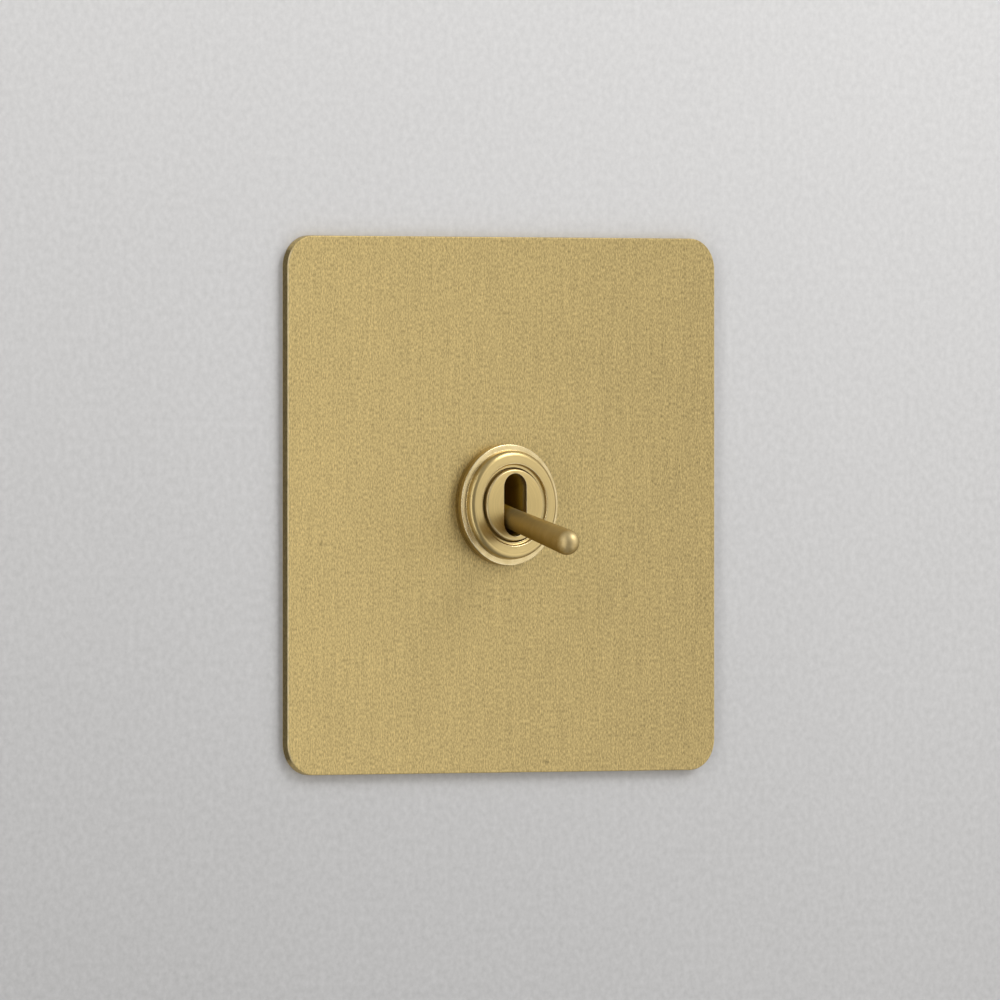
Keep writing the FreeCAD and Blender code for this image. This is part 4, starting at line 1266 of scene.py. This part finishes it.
class SWITCH_OT_plunger(bpy.types.Operator):
    """Add the plunger in the dolly's tail and its spring"""

    bl_idname = "switch.plunger"
    bl_label = "Plunger and spring"

    def execute(self, context):
        sizes = settings("dolly")
        small = sizes.plunger_round
        nose = arc((0, sizes.plunger_reach - sizes.plunger), sizes.plunger, 0, 90, NOSE_STEPS)
        nose[-1] = (0, sizes.plunger_reach, 0)
        corners = [
            (0, sizes.cup_end, 0),
            (sizes.cup, sizes.cup_end, small),
            (sizes.cup, sizes.plunger_back, small),
            (sizes.plunger, sizes.plunger_back, small),
            *nose,
        ]
        bm = lathe(rounded(corners), ROD_STEPS)
        bm.transform(in_dolly())
        add_piece("nylon_plunger", bm, "plunger", "pale_nylon", "plunger")
        span = sizes.cup_end - sizes.bore_floor
        inset = sizes.wire + sizes.coil_gap
        values = {
            "Turns": sizes.turns,
            "Coil Radius": sizes.coil,
            "Wire Radius": sizes.wire,
            "Height": span - 2 * inset,
            "Foot": in_dolly() @ Vector((0, sizes.bore_floor + inset, 0)),
            "Lean": (THROW - math.pi / 2, 0, 0),
            "Material": finish("spring_steel"),
        }
        bm = grow("coil", coil_spring(), values)
        spring = add_piece("coil", bm, "plunger_spring", "spring_steel", "dolly")
        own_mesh(spring)
        return {"FINISHED"}


class SWITCH_OT_bush_fixings(bpy.types.Operator):
    """Add the hexagon nut and the toothed washer"""

    bl_idname = "switch.bush_fixings"
    bl_label = "Nut and washer"

    def execute(self, context):
        sizes = settings("works")
        values = {
            "Radius": sizes.washer,
            "Hole Radius": settings("plate").hole,
            "Thickness": WASHER_HIGH.y - WASHER_LOW.y,
            "Teeth": sizes.teeth,
            "Gap Width": sizes.tooth_gap,
            "Gap Depth": sizes.tooth_depth,
            "Middle": (0, (WASHER_LOW.y + WASHER_HIGH.y) / 2, 0),
            "Material": finish("zinc_steel"),
        }
        bm = soften(grow("tooth_washer", toothed_washer(), values), sizes.tooth_round)
        add_piece("tooth_washer", bm, "lock_washer", "zinc_steel")
        dress("hexagon_nut", "fixing_nut", "raw_brass", sizes.block_round)
        return {"FINISHED"}


class SWITCH_OT_works(bpy.types.Operator):
    """Add the yoke, the frame, the case and its base"""

    bl_idname = "switch.works"
    bl_label = "Yoke, frame, case and base"

    def execute(self, context):
        sizes = settings("works")
        dress("yoke_strap", "yoke", "zinc_steel", sizes.sheet_round)
        dress("folded_frame", "case_frame", "zinc_steel", sizes.sheet_round)
        dress("moulded_case", "switch_case", "dark_moulding", sizes.mould_round)
        dress("moulded_base", "terminal_base", "dark_moulding", sizes.mould_round)
        return {"FINISHED"}


class SWITCH_OT_contacts(bpy.types.Operator):
    """Add the rocking blade and the silver contacts"""

    bl_idname = "switch.contacts"
    bl_label = "Blade and contacts"

    def execute(self, context):
        sizes = settings("works")
        dress("rocking_blade", "rocker_contact", "raw_brass", sizes.sheet_round, "rocker")
        dress("blade_buttons", "moving_contacts", "silver", sizes.button_round, "rocker")
        dress("strap_buttons", "fixed_contacts", "silver", sizes.sheet_round)
        return {"FINISHED"}


class SWITCH_OT_terminals(bpy.types.Operator):
    """Add the terminal blocks and the earth rivet"""

    bl_idname = "switch.terminals"
    bl_label = "Terminals"

    def execute(self, context):
        sizes = settings("works")
        for place in ("upper", "common", "lower", "earth"):
            dress(f"{place}_block", f"{place}_terminal", "raw_brass", sizes.block_round)
        dress("rivet", "earth_rivet", "raw_brass", sizes.sheet_round)
        return {"FINISHED"}


class SWITCH_OT_screws(bpy.types.Operator):
    """Add the clamp screws of the terminals"""

    bl_idname = "switch.screws"
    bl_label = "Screws"

    def execute(self, context):
        sizes = settings("works")
        tree = row_of_screws()
        rows = [
            ("clamp_screws", "terminal_screws", sizes.terminal_count),
            ("earth_clamp", "earth_screw", 1),
        ]
        for name, node, amount in rows:
            low, high = SCREW_BOXES[node]
            middle = (low + high) / 2
            seat = high.y - sizes.screw_head_height
            first = middle.z - (amount - 1) / 2 * sizes.terminal_pitch
            values = {
                "Shank Radius": sizes.screw,
                "Shank Length": seat - low.y,
                "Head Radius": sizes.screw_head,
                "Head Height": sizes.screw_head_height,
                "Slot Width": sizes.driver_width,
                "Slot Depth": sizes.driver_depth,
                "Count": amount,
                "Start": (middle.x, seat, first),
                "Step": (0, 0, sizes.terminal_pitch),
                "Material": finish("raw_brass"),
            }
            bm = soften(grow(name, tree, values), sizes.block_round)
            add_piece(name, bm, node, "raw_brass")
        return {"FINISHED"}


# stage


def add_wall():
    """The wall around the plate, with an opening behind it for the works."""
    stage = settings("stage")
    opening = plate_loop(stage.wall_lap, stage.wall_gap)
    reach = stage.wall_half / (settings("plate").side / 2)
    outside = [(x * reach, y, z * reach) for x, y, z in opening]
    around = len(opening)
    steps = [(step, (step + 1) % around) for step in range(around)]
    sides = [(first + around, second + around, second, first) for first, second in steps]
    wall = bpy.data.meshes.new("wall")
    wall.from_pydata(opening + outside, [], sides)
    wall.materials.append(finish("wall"))
    add_object("wall", wall)


def soft_box(tree, way, middle, inner, outer, level):
    """Light from a tall upright box, full near its middle and gone at its outside."""
    heading = (math.sin(middle), -math.cos(middle), 0)
    facing = vector_math(tree, "DOT_PRODUCT", way, heading, output="Value")
    return ramp(tree, facing, math.cos(outer), math.cos(inner), 0.0, level, "SMOOTHSTEP")


def add_room():
    """Soft light from all sides, a tall box and a narrow strip, the same before and behind the wall."""
    stage = settings("stage")
    world = bpy.data.worlds.new("soft_room")
    world.use_nodes = True
    tree = world.node_tree
    x, y, z = axes(tree, add_node(tree, "ShaderNodeTexCoord", output="Generated"))
    front = add_math(tree, "MULTIPLY", add_math(tree, "ABSOLUTE", y), -1.0)
    way = vector_math(tree, "NORMALIZE", combine(tree, x, front))
    boxes = total(
        tree,
        soft_box(tree, way, stage.box_way, stage.box_inner, stage.box_outer, stage.box_level),
        soft_box(tree, way, stage.strip_way, stage.strip_inner, stage.strip_outer, stage.strip_level),
    )
    ends = (math.sin(stage.box_rise), math.sin(stage.box_end))
    within = ramp(tree, add_math(tree, "ABSOLUTE", z), *ends, 1.0, 0.0, "SMOOTHSTEP")
    sky = spread(tree, z, stage.ambient, stage.ambient + stage.above)
    background = tree.nodes["Background"].inputs
    fill(tree, background["Strength"], add_math(tree, "MULTIPLY_ADD", boxes, within, sky))
    background["Color"].default_value = ROOM_TINT
    bpy.context.scene.world = world


def add_lamp(name, place, power):
    lamp = bpy.data.lights.new(name, "AREA")
    lamp.energy = power
    lamp.size = settings("stage").lamp_size
    holder = add_object(name, lamp)
    holder.location = place
    holder.rotation_euler = (-Vector(place)).to_track_quat("-Z", "Y").to_euler()


def add_camera():
    stage = settings("stage")
    camera = bpy.data.cameras.new("camera")
    camera.lens = stage.lens
    camera.sensor_width = SENSOR_WIDTH
    camera.clip_end = FAR_CLIP
    holder = add_object("camera", camera)
    flat = math.cos(stage.elevation)
    right, front = math.sin(stage.azimuth) * flat, -math.cos(stage.azimuth) * flat
    back = Vector((right, front, math.sin(stage.elevation)))
    turn = back.to_track_quat("Z", "Y")
    aim = Vector((0, settings("plate").front, 0)) + turn @ Vector((stage.aim_right, stage.aim_up, 0))
    holder.location = aim + back * stage.distance
    holder.rotation_euler = turn.to_euler()
    bpy.context.scene.camera = holder


class SWITCH_OT_stage(bpy.types.Operator):
    """Add the wall, the light and the camera"""

    bl_idname = "switch.stage"
    bl_label = "Stage"

    def execute(self, context):
        stage = settings("stage")
        add_wall()
        add_room()
        add_lamp("key_lamp", KEY_PLACE, stage.key_power)
        add_lamp("rear_lamp", REAR_PLACE, stage.rear_power)
        add_camera()
        context.scene.view_settings.view_transform = "Standard"
        return {"FINISHED"}


OPERATORS = [
    SWITCH_OT_stage,
    SWITCH_OT_front_plate,
    SWITCH_OT_dolly_ring,
    SWITCH_OT_bush,
    SWITCH_OT_dolly,
    SWITCH_OT_plunger,
    SWITCH_OT_bush_fixings,
    SWITCH_OT_works,
    SWITCH_OT_contacts,
    SWITCH_OT_terminals,
    SWITCH_OT_screws,
]


class SWITCH_PT_pieces(bpy.types.Panel):
    """The switch's pieces and their sizes"""

    bl_idname = "SWITCH_PT_pieces"
    bl_label = "Dolly switch"
    bl_space_type = "VIEW_3D"
    bl_region_type = "UI"
    bl_category = "Dolly switch"

    def draw(self, context):
        for operator in OPERATORS:
            self.layout.operator(operator.bl_idname)
        for group, kind in GROUPS.items():
            section = self.layout.box()
            section.label(text=kind.__doc__)
            for name in kind.__annotations__:
                section.prop(settings(group), name)


CLASSES = [*GROUPS.values(), *OPERATORS, SWITCH_PT_pieces]


def register():
    for item in CLASSES:
        bpy.utils.register_class(item)
    for group, kind in GROUPS.items():
        setattr(bpy.types.Scene, "dolly_switch_" + group, bpy.props.PointerProperty(type=kind))


def unregister():
    for group in GROUPS:
        delattr(bpy.types.Scene, "dolly_switch_" + group)
    for item in reversed(CLASSES):
        bpy.utils.unregister_class(item)


def main():
    register()
    for operator in OPERATORS:
        family, name = operator.bl_idname.split(".")
        getattr(getattr(bpy.ops, family), name)()


if __name__ == "__main__":
    main()
